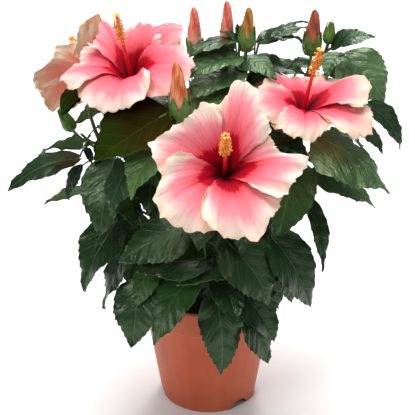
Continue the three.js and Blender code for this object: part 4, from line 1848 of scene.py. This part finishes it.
@dataclass(frozen=True)
class Bloom:
    """An open flower in its own frame: Z is its axis, Y the side that faces the sky."""

    name: str
    shoot: str
    throat: Triple
    bearing: float
    climb: float
    petal: float
    column: float
    funnel: float
    curl: float
    petals: tuple[Petal, ...]
    twist: float = 5
    bow: float = 0.1
    seed: int = 1
    well: float = 14
    lean: float = 0
    face: PetalFace = PETAL_TOP

    WELL_WIDTH = 12.0
    THICKNESS = 0.45
    ALONG = 46
    ACROSS = 40
    STEPS = 40
    ANTHERS = 110
    ANTHERS_FROM = 0.65
    ANTHERS_OVER = 0.32
    GOLDEN_ANGLE = 2.39996
    STIGMAS = 5
    TUBE = ((0, 0.3), (0.1, 0.62), (0.35, 0.88), (0.7, 0.8), (1, 0.4))
    TUBE_RADIUS = 6.0
    TUBE_LENGTH = 16

    def frame(self) -> Array:
        """Rows: side, up and axis of the flower."""
        axis, side = heading(self.bearing, self.climb), heading(self.bearing + 90, 0)
        return np.stack([side, np.cross(axis, side), axis])

    def placed(self, local: Array) -> Array:
        """Points of the flower's own frame in the row's frame."""
        return np.array(self.throat, float) + local @ self.frame()

    def lay_petal(self, bundle: Bundle, index: int) -> None:
        """Adds one ruffled petal with its own map.

        Args:
            bundle: what it is added to.
            index: which of the five it is.
        """
        draw = Draws(self.seed * 97 + index * 13)
        petal = self.petals[index]
        pattern = sheet_pattern(self.ALONG, self.ACROSS)
        along = pattern.corners[:, 0] + 0.5
        across = pattern.corners[:, 1] * 2
        edge = np.abs(across)
        start = petal.outline[0][0]
        sweep = petal.outline[-1][0] - start
        angle = start + sweep * (across + 1) / 2
        limit = between_knots(angle, petal.outline)
        angle = angle + 1.6 * np.sin(along * 19 + draw() * 6) * edge**6 * along
        angle = angle + 0.22 * sweep * across * np.exp(-along * 5)
        fringe = np.clip((along - 0.5) / 0.5, 0, 1)
        sides = np.clip((edge - 0.55) / 0.45, 0, 1) * np.clip(along * 1.8 - 0.4, 0, 1)
        margin = np.maximum(fringe, sides)
        frill = 1 + 0.013 * np.sin(across * 31 + draw() * 6) * fringe**5
        frill = frill + 0.010 * np.sin(across * 53 + draw() * 6) * fringe**8
        reach = self.petal * 0.03 + along * (limit - self.petal * 0.03) * frill
        share = np.clip(reach / self.petal, 0, 1.2)
        inner = np.clip(1 - share, 0, 1)
        height = self.funnel * (1 - inner**2.2) - self.curl * self.petal * share**4
        height = height + petal.lift * np.minimum(reach / 70, 1.2) ** 2
        height = height + self.twist * across * along**0.9
        height = height - self.well * np.exp(-((reach / self.WELL_WIDTH) ** 2))
        waves = draw.between(5.0, 7.0)
        ruffle = 2.3 * margin**1.5 * np.sin(across * waves + along * 4 + draw() * 6)
        tight = np.sin(across * draw.between(12, 16) - along * 8 + draw() * 6)
        ruffle = ruffle + 1.5 * margin**2.5 * tight
        ruffle = ruffle + 0.8 * margin**4 * np.sin(across * 29 + along * 23 + draw() * 6)
        crease = 0.8 * along * np.sin(across * 13 + draw() * 6 + along * 1.5)
        crease = crease + 0.35 * along * np.sin(across * 27 + draw() * 6)
        fade = np.sin(math.pi * np.clip(along * 1.2, 0, 1))
        spine = -1.4 * np.exp(-((across / 0.12) ** 2)) * fade
        height = height + ruffle + crease + spine + pattern.corners[:, 2] * self.THICKNESS
        turn = np.radians(angle)
        local = np.stack([reach * np.cos(turn), reach * np.sin(turn), height], axis=1)
        on_top = 1 if self.twist > 0 else -1
        # A negative blush brings the pale stops sooner: painted light on the shaded upper petals
        # of the far-left bloom.
        shade = along - petal.blush_and_painted_light * along**2
        own_map = np.stack([shade, 0.5 - 0.5 * across * on_top], axis=1)
        above = pattern.corners[:, 2]
        slots = [0 if above[list(face)].mean() > -0.01 else 1 for face in pattern.faces]
        bundle.add(pattern, self.placed(local), own_map, slots)

    def build_petals(self) -> bpy.types.Object:
        """Builds the five petals as one piece.

        Returns:
            The piece.
        """
        bundle = Bundle()
        for index in range(len(self.petals)):
            self.lay_petal(bundle, index)
        finishes = [self.face, PETAL_BACK]
        return bundle.piece(f"{self.name}_petals", finishes, "petal", [self.name], 75)

    def build_column(self) -> bpy.types.Object:
        """Builds the column with its anthers and its five stigma pads.

        Returns:
            The piece.
        """
        bundle = Bundle()
        local = Line.bezier(
            np.array([0, 0, -self.well]),
            np.array([self.lean * 0.2, 0, self.column * 0.5]),
            np.array([self.lean, self.bow * self.column, self.column]),
        )
        line = Line(self.placed(local.points))
        lay_tube(bundle, line, Taper(2.1, 1.2), 14, 20, 0)
        self._lay_anthers(bundle, line)
        _, first, second = line.frames(self.STEPS)
        rise = self.frame()[2]
        end = line.at(1.0)
        for i in range(self.STIGMAS):
            angle = math.tau * (i + 0.5) / self.STIGMAS
            arm = first[-1] * math.cos(angle) + second[-1] * math.sin(angle)
            head = end + arm * 2.3 + rise * 2.2
            branch = Line.through(end, end + arm * 0.9 + rise * 1.5, head)
            lay_tube(bundle, branch, Taper(0.5, 0.4), 6, 4, 0)
            lay_pip(bundle, head, np.array([1.35, 1.35, 1.1]), 2, 2)
        finishes = [COLUMN_SKIN, ANTHER, STIGMA]
        return bundle.piece(f"{self.name}_column", finishes, "petal")

    def _lay_anthers(self, bundle: Bundle, line: Line) -> None:
        """Adds the anthers on their threads round the upper part of the column.

        Args:
            bundle: what they are added to.
            line: middle line of the column.
        """
        draw = Draws(self.seed + 900)
        _, first, second = line.frames(self.STEPS)
        rise = self.frame()[2]
        for i in range(self.ANTHERS):
            height = (i + draw()) / self.ANTHERS
            share = self.ANTHERS_FROM + self.ANTHERS_OVER * height
            angle = i * self.GOLDEN_ANGLE + draw() * 0.4
            root = line.at(share)
            step = int(share * self.STEPS)
            arm = first[step] * math.cos(angle) + second[step] * math.sin(angle)
            stretch = draw.between(2.8, 5.4) * (1.0 - 0.3 * height)
            head = root + arm * stretch + rise * draw.between(-0.2, 1.6)
            middle = (root + head) / 2 + rise * 0.4
            lay_tube(bundle, Line.through(root, middle, head), Taper(0.22, 0.16), 4, 2, 1)
            lay_pip(bundle, head, np.array([1.0, 1.0, 0.75]) * draw.between(0.75, 1.15), 1, 1)

    def stalk(self, stem: Line) -> Line:
        """The flower stalk from the stem's tip into the calyx.

        Args:
            stem: line of the stem.

        Returns:
            The line.
        """
        axis = self.frame()[2]
        foot = np.array(self.throat, float) - axis * (15 + self.well)
        root = stem.at(1.0)
        shoulder = foot - axis * float(np.linalg.norm(root - foot)) * 0.35
        return Line.bezier(root, (root + shoulder) / 2, shoulder, foot)

    def build_calyx(self, stem: Line) -> bpy.types.Object:
        """Builds the tube, calyx and stalk behind the petals.

        Args:
            stem: line of the stem.

        Returns:
            The piece.
        """
        bundle = Bundle()
        axis = self.frame()[2]
        base = np.array(self.throat, float) - axis * self.well
        tube = Line(np.array([
            base - axis * self.TUBE_LENGTH * (1 - t) for t in np.linspace(0, 0.98, 9)
        ]))
        lay_tube(bundle, tube, Turning(self.TUBE, self.TUBE_RADIUS), 24, 10, 1)
        foot, tip = base - axis * self.TUBE_LENGTH, base + axis * 23
        Bud(self.shoot, tuple(foot), tuple(tip), 16, 0, 0.56).lay_calyx(bundle, 0)
        lay_tube(bundle, self.stalk(stem), Taper(1.4, 1.9, 3), 10, 16, 0)
        return bundle.piece(f"{self.name}_calyx", [CALYX_SKIN, PETAL_BACK], "leaf")


BLOOMS = (
    Bloom("bloom_front", "front", (13, -118, 290), 270, 47, 67, 58, 34, 0.06, (
        Petal((
            (28, 42), (37, 44), (46, 47), (55, 50), (61, 57), (67, 67), (77, 70), (85, 66),
            (88, 54), (94, 50), (110, 44),
        ), 0, 0.06),
        Petal((
            (96, 42), (99, 46), (105, 49), (112, 51), (116, 48), (124, 46), (132, 44), (140, 46),
            (148, 50), (156, 52), (166, 63), (173, 59), (182, 56), (193, 52), (208, 46),
        ), 0, 0.06),
        Petal((
            (172, 34), (175, 39), (180, 44), (187, 48), (194, 51), (200, 54), (206, 58), (211, 66),
            (217, 67), (224, 70), (234, 69), (244, 66), (257, 62), (272, 56),
        )),
        Petal((
            (241, 33), (243, 42), (247, 50), (253, 57), (259, 61), (266, 65), (275, 68), (281, 66),
            (286, 72), (293, 72), (297, 67), (304, 62), (311, 60), (318, 57), (334, 50),
        )),
        Petal((
            (312, 40), (314, 45), (318, 53), (325, 57), (335, 57), (343, 60), (351, 63), (358, 66),
            (362, 66), (365, 52), (369, 44), (377, 41), (386, 41), (398, 40),
        ), 0, 0.06),
    ), -5, 0.1, 3, 7),
    # The left bloom takes the dimmed copy of the petal face: painted shade against the stronger
    # light on it.
    Bloom("bloom_left", "left_front", (-69, -12, 340), 243, 70, 59, 52.3, 13, 0.16, (
        Petal((
            (98, 40), (108, 41), (116, 42), (125, 44), (133, 48), (136, 59), (139, 71), (145, 55),
            (152, 47), (158, 43), (167, 40), (172, 43), (179, 36),
        ), 12, 0.25),
        Petal((
            (152, 36), (160, 44), (168, 54), (173, 52), (181, 50), (190, 45), (200, 43), (206, 47),
            (209, 60), (214, 61), (222, 58), (230, 56), (240, 53),
        ), 0, 0.10),
        Petal((
            (222, 46), (232, 50), (241, 52), (247, 54), (254, 57), (262, 58), (270, 59), (278, 61),
            (286, 59), (289, 55), (293, 57), (303, 57), (310, 55), (316, 53), (322, 48), (330, 40),
            (340, 28),
        ), 0, 0.05),
        Petal((
            (305, 48), (320, 50), (332, 54), (341, 56), (349, 60), (357, 60), (366, 59), (374, 60),
            (379, 58), (383, 53), (390, 51), (403, 51), (412, 49), (420, 48), (425, 44), (429, 38),
        ), 0, 0.15),
        Petal((
            (32, 42), (45, 50), (60, 58), (70, 66), (75, 71), (78, 60), (82, 53), (86, 47),
            (95, 43), (107, 44), (116, 42), (128, 40),
        ), 12, 0.24),
    ), 4, 0.1, 5, 16, -3, PETAL_DIMMED_FOR_LIGHT),
    # The right bloom takes the darkest copy of the petal face: painted shade against the stronger
    # light on it.
    Bloom("bloom_right", "right", (84, -25, 315), 313, 78, 62, 48.1, 6, 0.1, (
        Petal((
            (294, 42), (298, 50), (306, 51), (319, 53), (330, 58), (341, 63), (352, 71), (358, 75),
            (361, 60), (365, 50), (372, 44), (382, 41), (390, 35), (404, 34),
        ), 14, 0.02),
        Petal((
            (24, 36), (36, 39), (50, 40), (57, 45), (65, 43), (73, 40), (80, 46), (88, 54),
            (97, 49), (105, 54), (113, 54), (125, 46), (140, 40),
        ), -6, 0.16),
        Petal((
            (98, 27), (110, 31), (116, 38), (129, 40), (145, 45), (156, 51), (167, 57), (178, 61),
            (188, 60), (205, 52), (218, 46),
        ), 5, 0.06),
        Petal((
            (188, 44), (194, 58), (201, 60), (208, 62), (212, 65), (218, 64), (225, 63), (229, 62),
            (236, 56), (242, 49), (250, 46), (262, 42),
        )),
        Petal((
            (249, 42), (252, 56), (259, 61), (264, 65), (270, 65), (277, 65), (285, 66), (290, 65),
            (296, 61), (305, 60), (318, 60), (329, 60), (340, 50), (350, 44),
        )),
    ), -2.5, 0.0, 7, 14, 5.5, PETAL_DIMMED_MORE_FOR_LIGHT),
    # Its two upper petals are painted paler with a negative blush: painted light that offsets the
    # shade on their backs.
    Bloom("bloom_far_left", "left", (-102, 42, 318), 134, 16, 53, 48, 20, 0.05, (
        Petal((
            (-14, 50), (-5, 61), (2, 64), (8, 63), (13, 57), (18, 49), (24, 45), (30, 45),
            (36, 43), (42, 37), (50, 34), (60, 31),
        ), 0, -0.1),
        Petal((
            (40, 30), (54, 35), (64, 41), (74, 45), (84, 48), (92, 51), (98, 52), (103, 46),
            (112, 40), (124, 37), (138, 34),
        ), 0, -0.45),
        Petal(((118, 40), (135, 46), (152, 50), (170, 52), (188, 50), (205, 44), (215, 36))),
        Petal(((192, 38), (208, 46), (225, 52), (240, 54), (256, 50), (272, 46), (286, 38))),
        Petal((
            (266, 38), (280, 44), (292, 48), (301, 51), (306, 56), (315, 55), (323, 55), (330, 53),
            (341, 54), (352, 56), (364, 54),
        )),
    ), 5, 0.15, 9, 8, -6.5),
)


# ---- The plant


@dataclass
class Canopy:
    """What stands in the way of a leaf, and what hides it from the photograph's sky."""

    solids: BVHTree
    hard: BVHTree
    petals: list[BVHTree]
    eye: Array
    blades: list[BVHTree] = field(default_factory=list)

    @staticmethod
    def of(nodes: dict[str, bpy.types.Object], petals: list[bpy.types.Object]) -> Canopy:
        """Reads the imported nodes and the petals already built.

        Args:
            nodes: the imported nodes.
            petals: the petals of the blooms.

        Returns:
            The canopy, with no blades yet.
        """
        hard = ("pot", "soil", "trunk")
        return Canopy(
            joined_tree(list(nodes.values())),
            joined_tree([node for name, node in nodes.items() if name.startswith(hard)]),
            [joined_tree([piece]) for piece in petals],
            np.array(Studio.eye),
        )

    def crosses_petal(self, blade: BVHTree) -> bool:
        """Whether a blade cuts a petal."""
        return any(blade.overlap(tree) for tree in self.petals)

    def clear_for(self, blade: BVHTree) -> bool:
        """Whether a blade cuts neither a petal nor a blade that is already there."""
        return not any(blade.overlap(tree) for tree in (*self.petals, *self.blades))

    def covers(self, points: Array) -> bool:
        """Whether solids fill the photograph where all the points are seen."""
        ways = (Vector(point - self.eye).normalized() for point in points * MM)
        return all(self.solids.ray_cast(Vector(self.eye), way)[0] is not None for way in ways)

    def clear_of_hard(self, points: Array) -> bool:
        """Whether the points keep away from the pot, the soil and the trunk."""
        return all(self.hard.find_nearest(Vector(p * MM), 0.004)[0] is None for p in points)


def joined_tree(pieces: Sequence[bpy.types.Object]) -> BVHTree:
    """One tree over the faces of several objects.

    Args:
        pieces: the objects.

    Returns:
        The tree.
    """
    corners, faces = [], []
    for piece in pieces:
        start = len(corners)
        corners.extend(v.co.copy() for v in piece.data.vertices)
        faces.extend([i + start for i in p.vertices] for p in piece.data.polygons)
    return BVHTree.FromPolygons(corners, faces)


@dataclass
class Mass:
    """One shoot's stem, twigs, petioles, leaves and buds."""

    shoot: Shoot
    stem: Line
    draw: Draws
    skin: SolidSkin
    canopy: Canopy
    twigs: list[Line] = field(default_factory=list)
    finer_twigs: list[Line] = field(default_factory=list)
    leaves: list[Leaf] = field(default_factory=list)

    TWIG_NEAR = 1.6
    STEPS_SHOWN = 44
    STEPS_RULED = 26
    FINE_SEED = 7000
    FINE_PER_STEM = 12
    FINE_PER_TWIG = 4
    FINE_PER_FINER_TWIG = 2
    FINE_TINTS = (Tint.DEEP, Tint.MID, Tint.DEEP, Tint.YOUNG)
    FINER_TWIG_SEED = 9000
    FINER_TWIGS = 3
    LOWEST = 112

    def grow(self) -> None:
        """Grows the twigs and the leaves that the solid of this mass holds."""
        for line in self.shoot.twigs(self.stem, self.draw):
            if self.skin.gap(line.at(1.0)) < self.TWIG_NEAR:
                self.twigs.append(line)
        own = len(self.shoot.leaves)
        wanted = [*self.shoot.leaves, *self.shoot.ruled(self.stem, self.draw)]
        for number, leaf in enumerate(wanted):
            settled = self._settled(leaf)
            if settled is None:
                log.info("%s: leaf %d has no place", self.shoot.name, number)
                continue
            seed = letters(self.shoot.name) * 31 + number * 7
            steps = self.STEPS_SHOWN if number < own else self.STEPS_RULED
            settled = replace(settled, seed=seed, steps=steps)
            self._keep(self._off_petals(settled.dressed_up()))

    def _grow_shown(self) -> None:
        """Grows the finer leaves that have a place of their own."""
        for number, leaf in enumerate(self.shoot.finer):
            posed = replace(self._off_petals(leaf), seed=number * 17 + 5, steps=36)
            if self.canopy.crosses_petal(posed.tree()):
                log.info("%s: finer leaf %d meets a petal", self.shoot.name, number)
            else:
                self._keep(posed)

    def _keep(self, leaf: Leaf) -> None:
        """Takes a leaf into the mass."""
        self.leaves.append(leaf)
        self.canopy.blades.append(leaf.tree())

    def _off_petals(self, leaf: Leaf) -> Leaf:
        """The leaf, hung a little lower where it would cut a petal.

        Args:
            leaf: the leaf.

        Returns:
            The pose that cuts no petal, or the leaf's own.
        """
        for hang, roll in ((0, 0), (5, 0), (5, 8), (5, -8), (10, 0), (10, 14), (10, -14), (16, 0)):
            posed = leaf.posed(hang, 0, roll)
            if not self.canopy.crosses_petal(posed.tree()):
                return posed
        return leaf

    def _settled(self, leaf: Leaf) -> Leaf | None:
        """The pose in which the solid holds the leaf."""
        poses = (leaf.posed(*nudge) for nudge in NUDGES)
        return next((pose for pose in poses if self.skin.holds(pose.probes())), None)

    def grow_fine(self) -> None:
        """Carries the rule on to smaller leaves on the stem and twigs, within the same reach."""
        self._grow_shown()
        draw = Draws(self.FINE_SEED + letters(self.shoot.name))
        self._grow_finer_twigs()
        limbs = [
            (self.stem, self.FINE_PER_STEM),
            *((twig, self.FINE_PER_TWIG) for twig in self.twigs),
            *((twig, self.FINE_PER_FINER_TWIG) for twig in self.finer_twigs),
        ]
        for line, count in limbs:
            for i in range(count):
                leaf = self._fine_leaf(line, i, count, draw)
                if self._fits(leaf):
                    self._keep(leaf)

    def _fine_leaf(self, line: Line, i: int, count: int, draw: Draws) -> Leaf:
        """One of the finer leaves that follow the rule.

        Args:
            line: the limb that it stands on.
            i: its number on the limb.
            count: how many the limb has.
            draw: the draws of the mass.

        Returns:
            The leaf, which may have no room.
        """
        share = (i + 0.5) / count
        turn = ((Shoot.TURN * i + 72 + 50 * draw()) % 360) - 180
        points = self.shoot.bearing + turn * 0.8
        length = draw.between(34, 58)
        hang = 58 - 32 * share + 20 * (draw() - 0.5)
        foot = line.at(share) + heading(points, 25) * draw.between(14, 26)
        tint = self.FINE_TINTS[i % len(self.FINE_TINTS)] if share > 0.7 else Tint.DEEP
        return Leaf(
            foot, points, hang, length, tint=tint, steps=self.STEPS_RULED,
            seed=int(draw() * 9999), bite=0.10,
        )

    def _grow_finer_twigs(self) -> None:
        """Carries the twigs on to shorter side twigs, where these stay in the crown."""
        draw = Draws(self.FINER_TWIG_SEED + letters(self.shoot.name))
        for twig in self.twigs:
            for i in range(self.FINER_TWIGS):
                root = twig.at(0.3 + 0.3 * i)
                bearing = self.shoot.bearing + (1 if i % 2 else -1) * draw.between(25, 85)
                tip = root + heading(bearing, draw.between(15, 45)) * draw.between(13, 21)
                elbow = (root + tip) / 2 - np.array([0.0, 0.0, 1.3])
                line = Line.through(root, elbow, tip)
                if self._in_crown(line.at(np.linspace(0.1, 1, 5))):
                    self.finer_twigs.append(line)

    def _in_crown(self, points: Array) -> bool:
        """Whether points stay in the crown, clear of the pot, and leave the sky open.

        Args:
            points: the points.

        Returns:
            Whether all of them do.
        """
        widest = between_knots(points[:, 2], CROWN_REACH)
        beyond = np.any(np.hypot(points[:, 0], points[:, 1]) > widest)
        if beyond or points[:, 2].min() < self.LOWEST:
            return False
        return self.canopy.clear_of_hard(points) and self.canopy.covers(points)

    def _fits(self, leaf: Leaf) -> bool:
        """Whether a finer leaf has room, stays in the crown and leaves the sky open."""
        return self._in_crown(leaf.spread()) and self.canopy.clear_for(leaf.tree())

    def root_for(self, foot: Array) -> Array:
        """The nearest place on the stem or a twig where a petiole may leave it.

        Args:
            foot: foot of the blade.

        Returns:
            The place.
        """
        limbs = (self.stem, *self.twigs, *self.finer_twigs)
        spots = np.vstack([line.at(np.arange(1, 13) / 12.5) for line in limbs])
        return nearest(spots, foot - np.array([0, 0, 14.0]))

    def build(self, buds: Sequence[Bud], blooms: int) -> None:
        """Builds the leaves, the green wood and the buds as three pieces.

        Args:
            buds: the buds that the stem carries.
            blooms: how many open blooms it carries.
        """
        name = self.shoot.name
        blades = Bundle()
        for leaf in self.leaves:
            leaf.lay(blades)
        blades.piece(f"leaves_{name}", LEAF_FACES, "leaf", [f"foliage_{name}"], 55)
        self._build_stems(buds, blooms)
        if buds:
            caps = Bundle()
            for bud in buds:
                bud.lay_petals(caps)
                bud.lay_calyx(caps, len(BUD_SKINS))
            caps.piece(f"buds_{name}", [*BUD_SKINS, CALYX_SKIN], "petal")

    def _build_stems(self, buds: Sequence[Bud], blooms: int) -> None:
        """Builds the stem, its twigs, the petioles and the stalks of the buds as one piece.

        Args:
            buds: the buds that the stem carries.
            blooms: how many open blooms it carries.
        """
        wood = Bundle()
        lay_tube(wood, self.stem, Taper(Shoot.BOUGH_ENTRY, Shoot.STEM_TIP), 12, 24)
        for line in self.twigs:
            lay_tube(wood, line, Taper(1.8, 1.1), 8, 10)
        for line in self.finer_twigs:
            lay_tube(wood, line, Taper(1.05, 0.7), 7, 6)
        for leaf in self.leaves:
            line = leaf.petiole(self.root_for(leaf.foot))
            lay_tube(wood, line, Taper(1.0, 0.7), 7, 12)
        for rank, bud in enumerate(buds):
            axis, _ = bud.axis()
            foot = np.array(bud.foot, float)
            aim = foot - axis * (24 + 10 * (rank + blooms))
            root = nearest(self.stem.at(np.arange(1, 12) / 12), aim)
            seat = foot + axis * 2
            shoulder = seat - axis * float(np.linalg.norm(root - seat)) * 0.35
            line = Line.bezier(root, (root + shoulder) / 2, shoulder, seat)
            lay_tube(wood, line, Taper(1.35, 1.7, 4), 8, 16)
        wood.piece(f"stems_{self.shoot.name}", [GreenStem()], "leaf")


@dataclass(frozen=True)
class BoughBark:
    """Relief of a bough: faint ridges, rings of old leaf scars and a collar at its root."""

    phase: int

    def __call__(self, share: Array, angle: Array) -> Array:
        """What it adds to the radius at shares of the length and angles."""
        ring = 0.3 * np.exp(-((((share * 4 + self.phase * 0.13) % 1) - 0.5) / 0.06) ** 2)
        return 0.12 * np.sin(angle * 3 + share * 21 + self.phase) + ring + np.exp(-share * 14)


@dataclass
class Plant:
    """Trunk, boughs, masses and blooms."""

    nodes: dict[str, bpy.types.Object]
    soil: float = 108.0
    flare: float = 11
    flare_height: float = 12
    girth: float = 6.4
    tip: float = 4.6
    top: float = 168
    lean: tuple[float, float] = (3, 2)

    RULE_SEED = 1000
    RULE_SEED_STEP = 77

    def trunk(self) -> Line:
        """Middle line of the trunk.

        Returns:
            The line.
        """
        foot = self.soil + GAP
        return Line.bezier(
            np.array([0.0, 0.0, foot]),
            np.array([0.0, 0.0, (foot + self.top) / 2]),
            np.array([*self.lean, self.top], float),
        )

    def trunk_radius(self, share: Array) -> Array:
        """Radius of the trunk at shares of its length: an even taper and the flare at its foot."""
        flare = np.clip(1 - share * self.trunk().length() / self.flare_height, 0, 1) ** 2
        return self.girth + (self.tip - self.girth) * share + (self.flare - self.girth) * flare

    def trunk_relief(self, share: Array, angle: Array) -> Array:
        """Relief of the trunk: its ridges, and the butts of the roots at its foot.

        Args:
            share: shares of its length.
            angle: angles round it.

        Returns:
            What it adds to the radius.
        """
        ridge = 0.35 * np.sin(angle * 5 + share * 4) + 0.2 * np.sin(angle * 9 - share * 17)
        foot = np.clip(1 - share * self.trunk().length() / 14, 0, 1)
        butt = 1.6 * foot * np.maximum(0, np.sin(angle * 4 + 1))
        return ridge + 0.15 * np.sin(share * 90 + angle * 3) + butt - 0.3

    def build_wood(self, trunk: Line, boughs: dict[str, Line]) -> None:
        """Builds the trunk and boughs as one piece with the relief of their bark.

        Args:
            trunk: line of the trunk.
            boughs: lines of the boughs by name.
        """
        wood = Bundle()
        lay_tube(wood, trunk, self.trunk_radius, 40, 60, 0, self.trunk_relief)
        lay_pip(wood, trunk.at(1.0), np.array([4.4, 4.4, 2.6]), 2)
        girth = Taper(Shoot.BOUGH_ROOT, Shoot.BOUGH_ENTRY)
        for name, line in boughs.items():
            lay_tube(wood, line, girth, 16, 40, 0, BoughBark(letters(name)))
        nodes = ["trunk", *(f"bough_{name}" for name in boughs)]
        wood.piece("trunk_and_boughs", [Bark()], "bark", nodes, 60)

    def build(self) -> None:
        """Builds the whole plant."""
        trunk = self.trunk()
        boughs, masses = {}, {}
        petals = [bloom.build_petals() for bloom in BLOOMS]
        canopy = Canopy.of(self.nodes, petals)
        for index, shoot in enumerate(SHOOTS):
            line = shoot.line(trunk, self.soil, self.top)
            half = GAP / 2 / line.length()
            boughs[shoot.name] = line.part(0, shoot.entry + half)
            skin = SolidSkin(self.nodes[f"foliage_{shoot.name}"])
            stem = line.part(shoot.entry + half, 1)
            draw = Draws(self.RULE_SEED + self.RULE_SEED_STEP * index)
            masses[shoot.name] = Mass(shoot, stem, draw, skin, canopy)
        self.build_wood(trunk, boughs)
        for bloom in BLOOMS:
            bloom.build_column()
            bloom.build_calyx(masses[bloom.shoot].stem)
        for mass in masses.values():
            mass.grow()
        for mass in masses.values():
            mass.grow_fine()
        log.info("%d leaves", sum(len(mass.leaves) for mass in masses.values()))
        for name, mass in masses.items():
            buds = [bud for bud in BUDS if bud.shoot == name]
            flowers = sum(bloom.shoot == name for bloom in BLOOMS)
            mass.build(buds, flowers)


# ---- Studio


@dataclass(frozen=True)
class SoftLight:
    """A round soft light that faces the plant: its place and size in metres, power in watts."""

    name: str
    where: Triple
    size: float
    power: float
    aim: Triple = (0, 0, 0.25)

    def build(self) -> None:
        """Hangs the light."""
        data = bpy.data.lights.new(self.name, "AREA")
        data.shape = "DISK"
        data.size = self.size
        data.energy = self.power
        light = linked(self.name, data)
        light.location = self.where
        way = Vector(self.aim) - Vector(self.where)
        light.rotation_euler = way.to_track_quat("-Z", "Y").to_euler()


@dataclass(frozen=True)
class Studio:
    """Pale floor, soft lights and the camera of the photograph."""

    eye: Triple = (-0.001, -1.0, 0.695)
    pitch: float = 26.33
    lens: float = 103.66
    sensor: float = 36.0
    near: float = 0.01
    floor_size: float = 16.0
    sky: float = 0.12
    lights: tuple[SoftLight, ...] = (
        SoftLight("ceiling", (0.0, 0.4, 2.4), 2.5, 84),
        SoftLight("back", (0.25, 1.7, 1.75), 0.8, 22),
        SoftLight("key", (-0.8, -1.3, 1.5), 0.6, 13),
        SoftLight("fill", (1.5, -1.2, 0.9), 1.0, 3),
    )

    def build_floor(self) -> None:
        """Builds the floor."""
        mesh = bmesh.new()
        bmesh.ops.create_grid(mesh, x_segments=8, y_segments=8, size=self.floor_size / 2)
        floor = linked("studio_floor", as_mesh("studio_floor", mesh))
        floor.data.materials.append(dressed(StudioPaper()))

    def build_camera(self) -> None:
        """Sets the camera where the photograph was taken from."""
        data = bpy.data.cameras.new("camera")
        data.lens = self.lens
        data.sensor_width = self.sensor
        data.clip_start = self.near
        camera = linked("camera", data)
        camera.location = self.eye
        camera.rotation_euler = (math.radians(90 - self.pitch), 0, 0)
        bpy.context.scene.camera = camera

    def build_sky(self) -> None:
        """Surrounds the scene with even white light."""
        world = bpy.data.worlds.new("studio")
        world.use_nodes = True
        background = world.node_tree.nodes["Background"].inputs
        background["Color"].default_value = (1, 1, 1, 1)
        background["Strength"].default_value = self.sky
        bpy.context.scene.world = world

    def build(self) -> None:
        """Builds the studio."""
        self.build_floor()
        self.build_camera()
        for light in self.lights:
            light.build()
        self.build_sky()
        bpy.context.scene.view_settings.view_transform = "Standard"


def main() -> None:
    """Builds the plant, its pot and the studio."""
    logging.basicConfig(level=logging.INFO, format="%(message)s")
    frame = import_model()
    pot = Pot()
    pot.build()
    Soil(pot).build()
    Plant(frame["nodes"]).build()
    Studio().build()


if __name__ == "__main__":
    main()
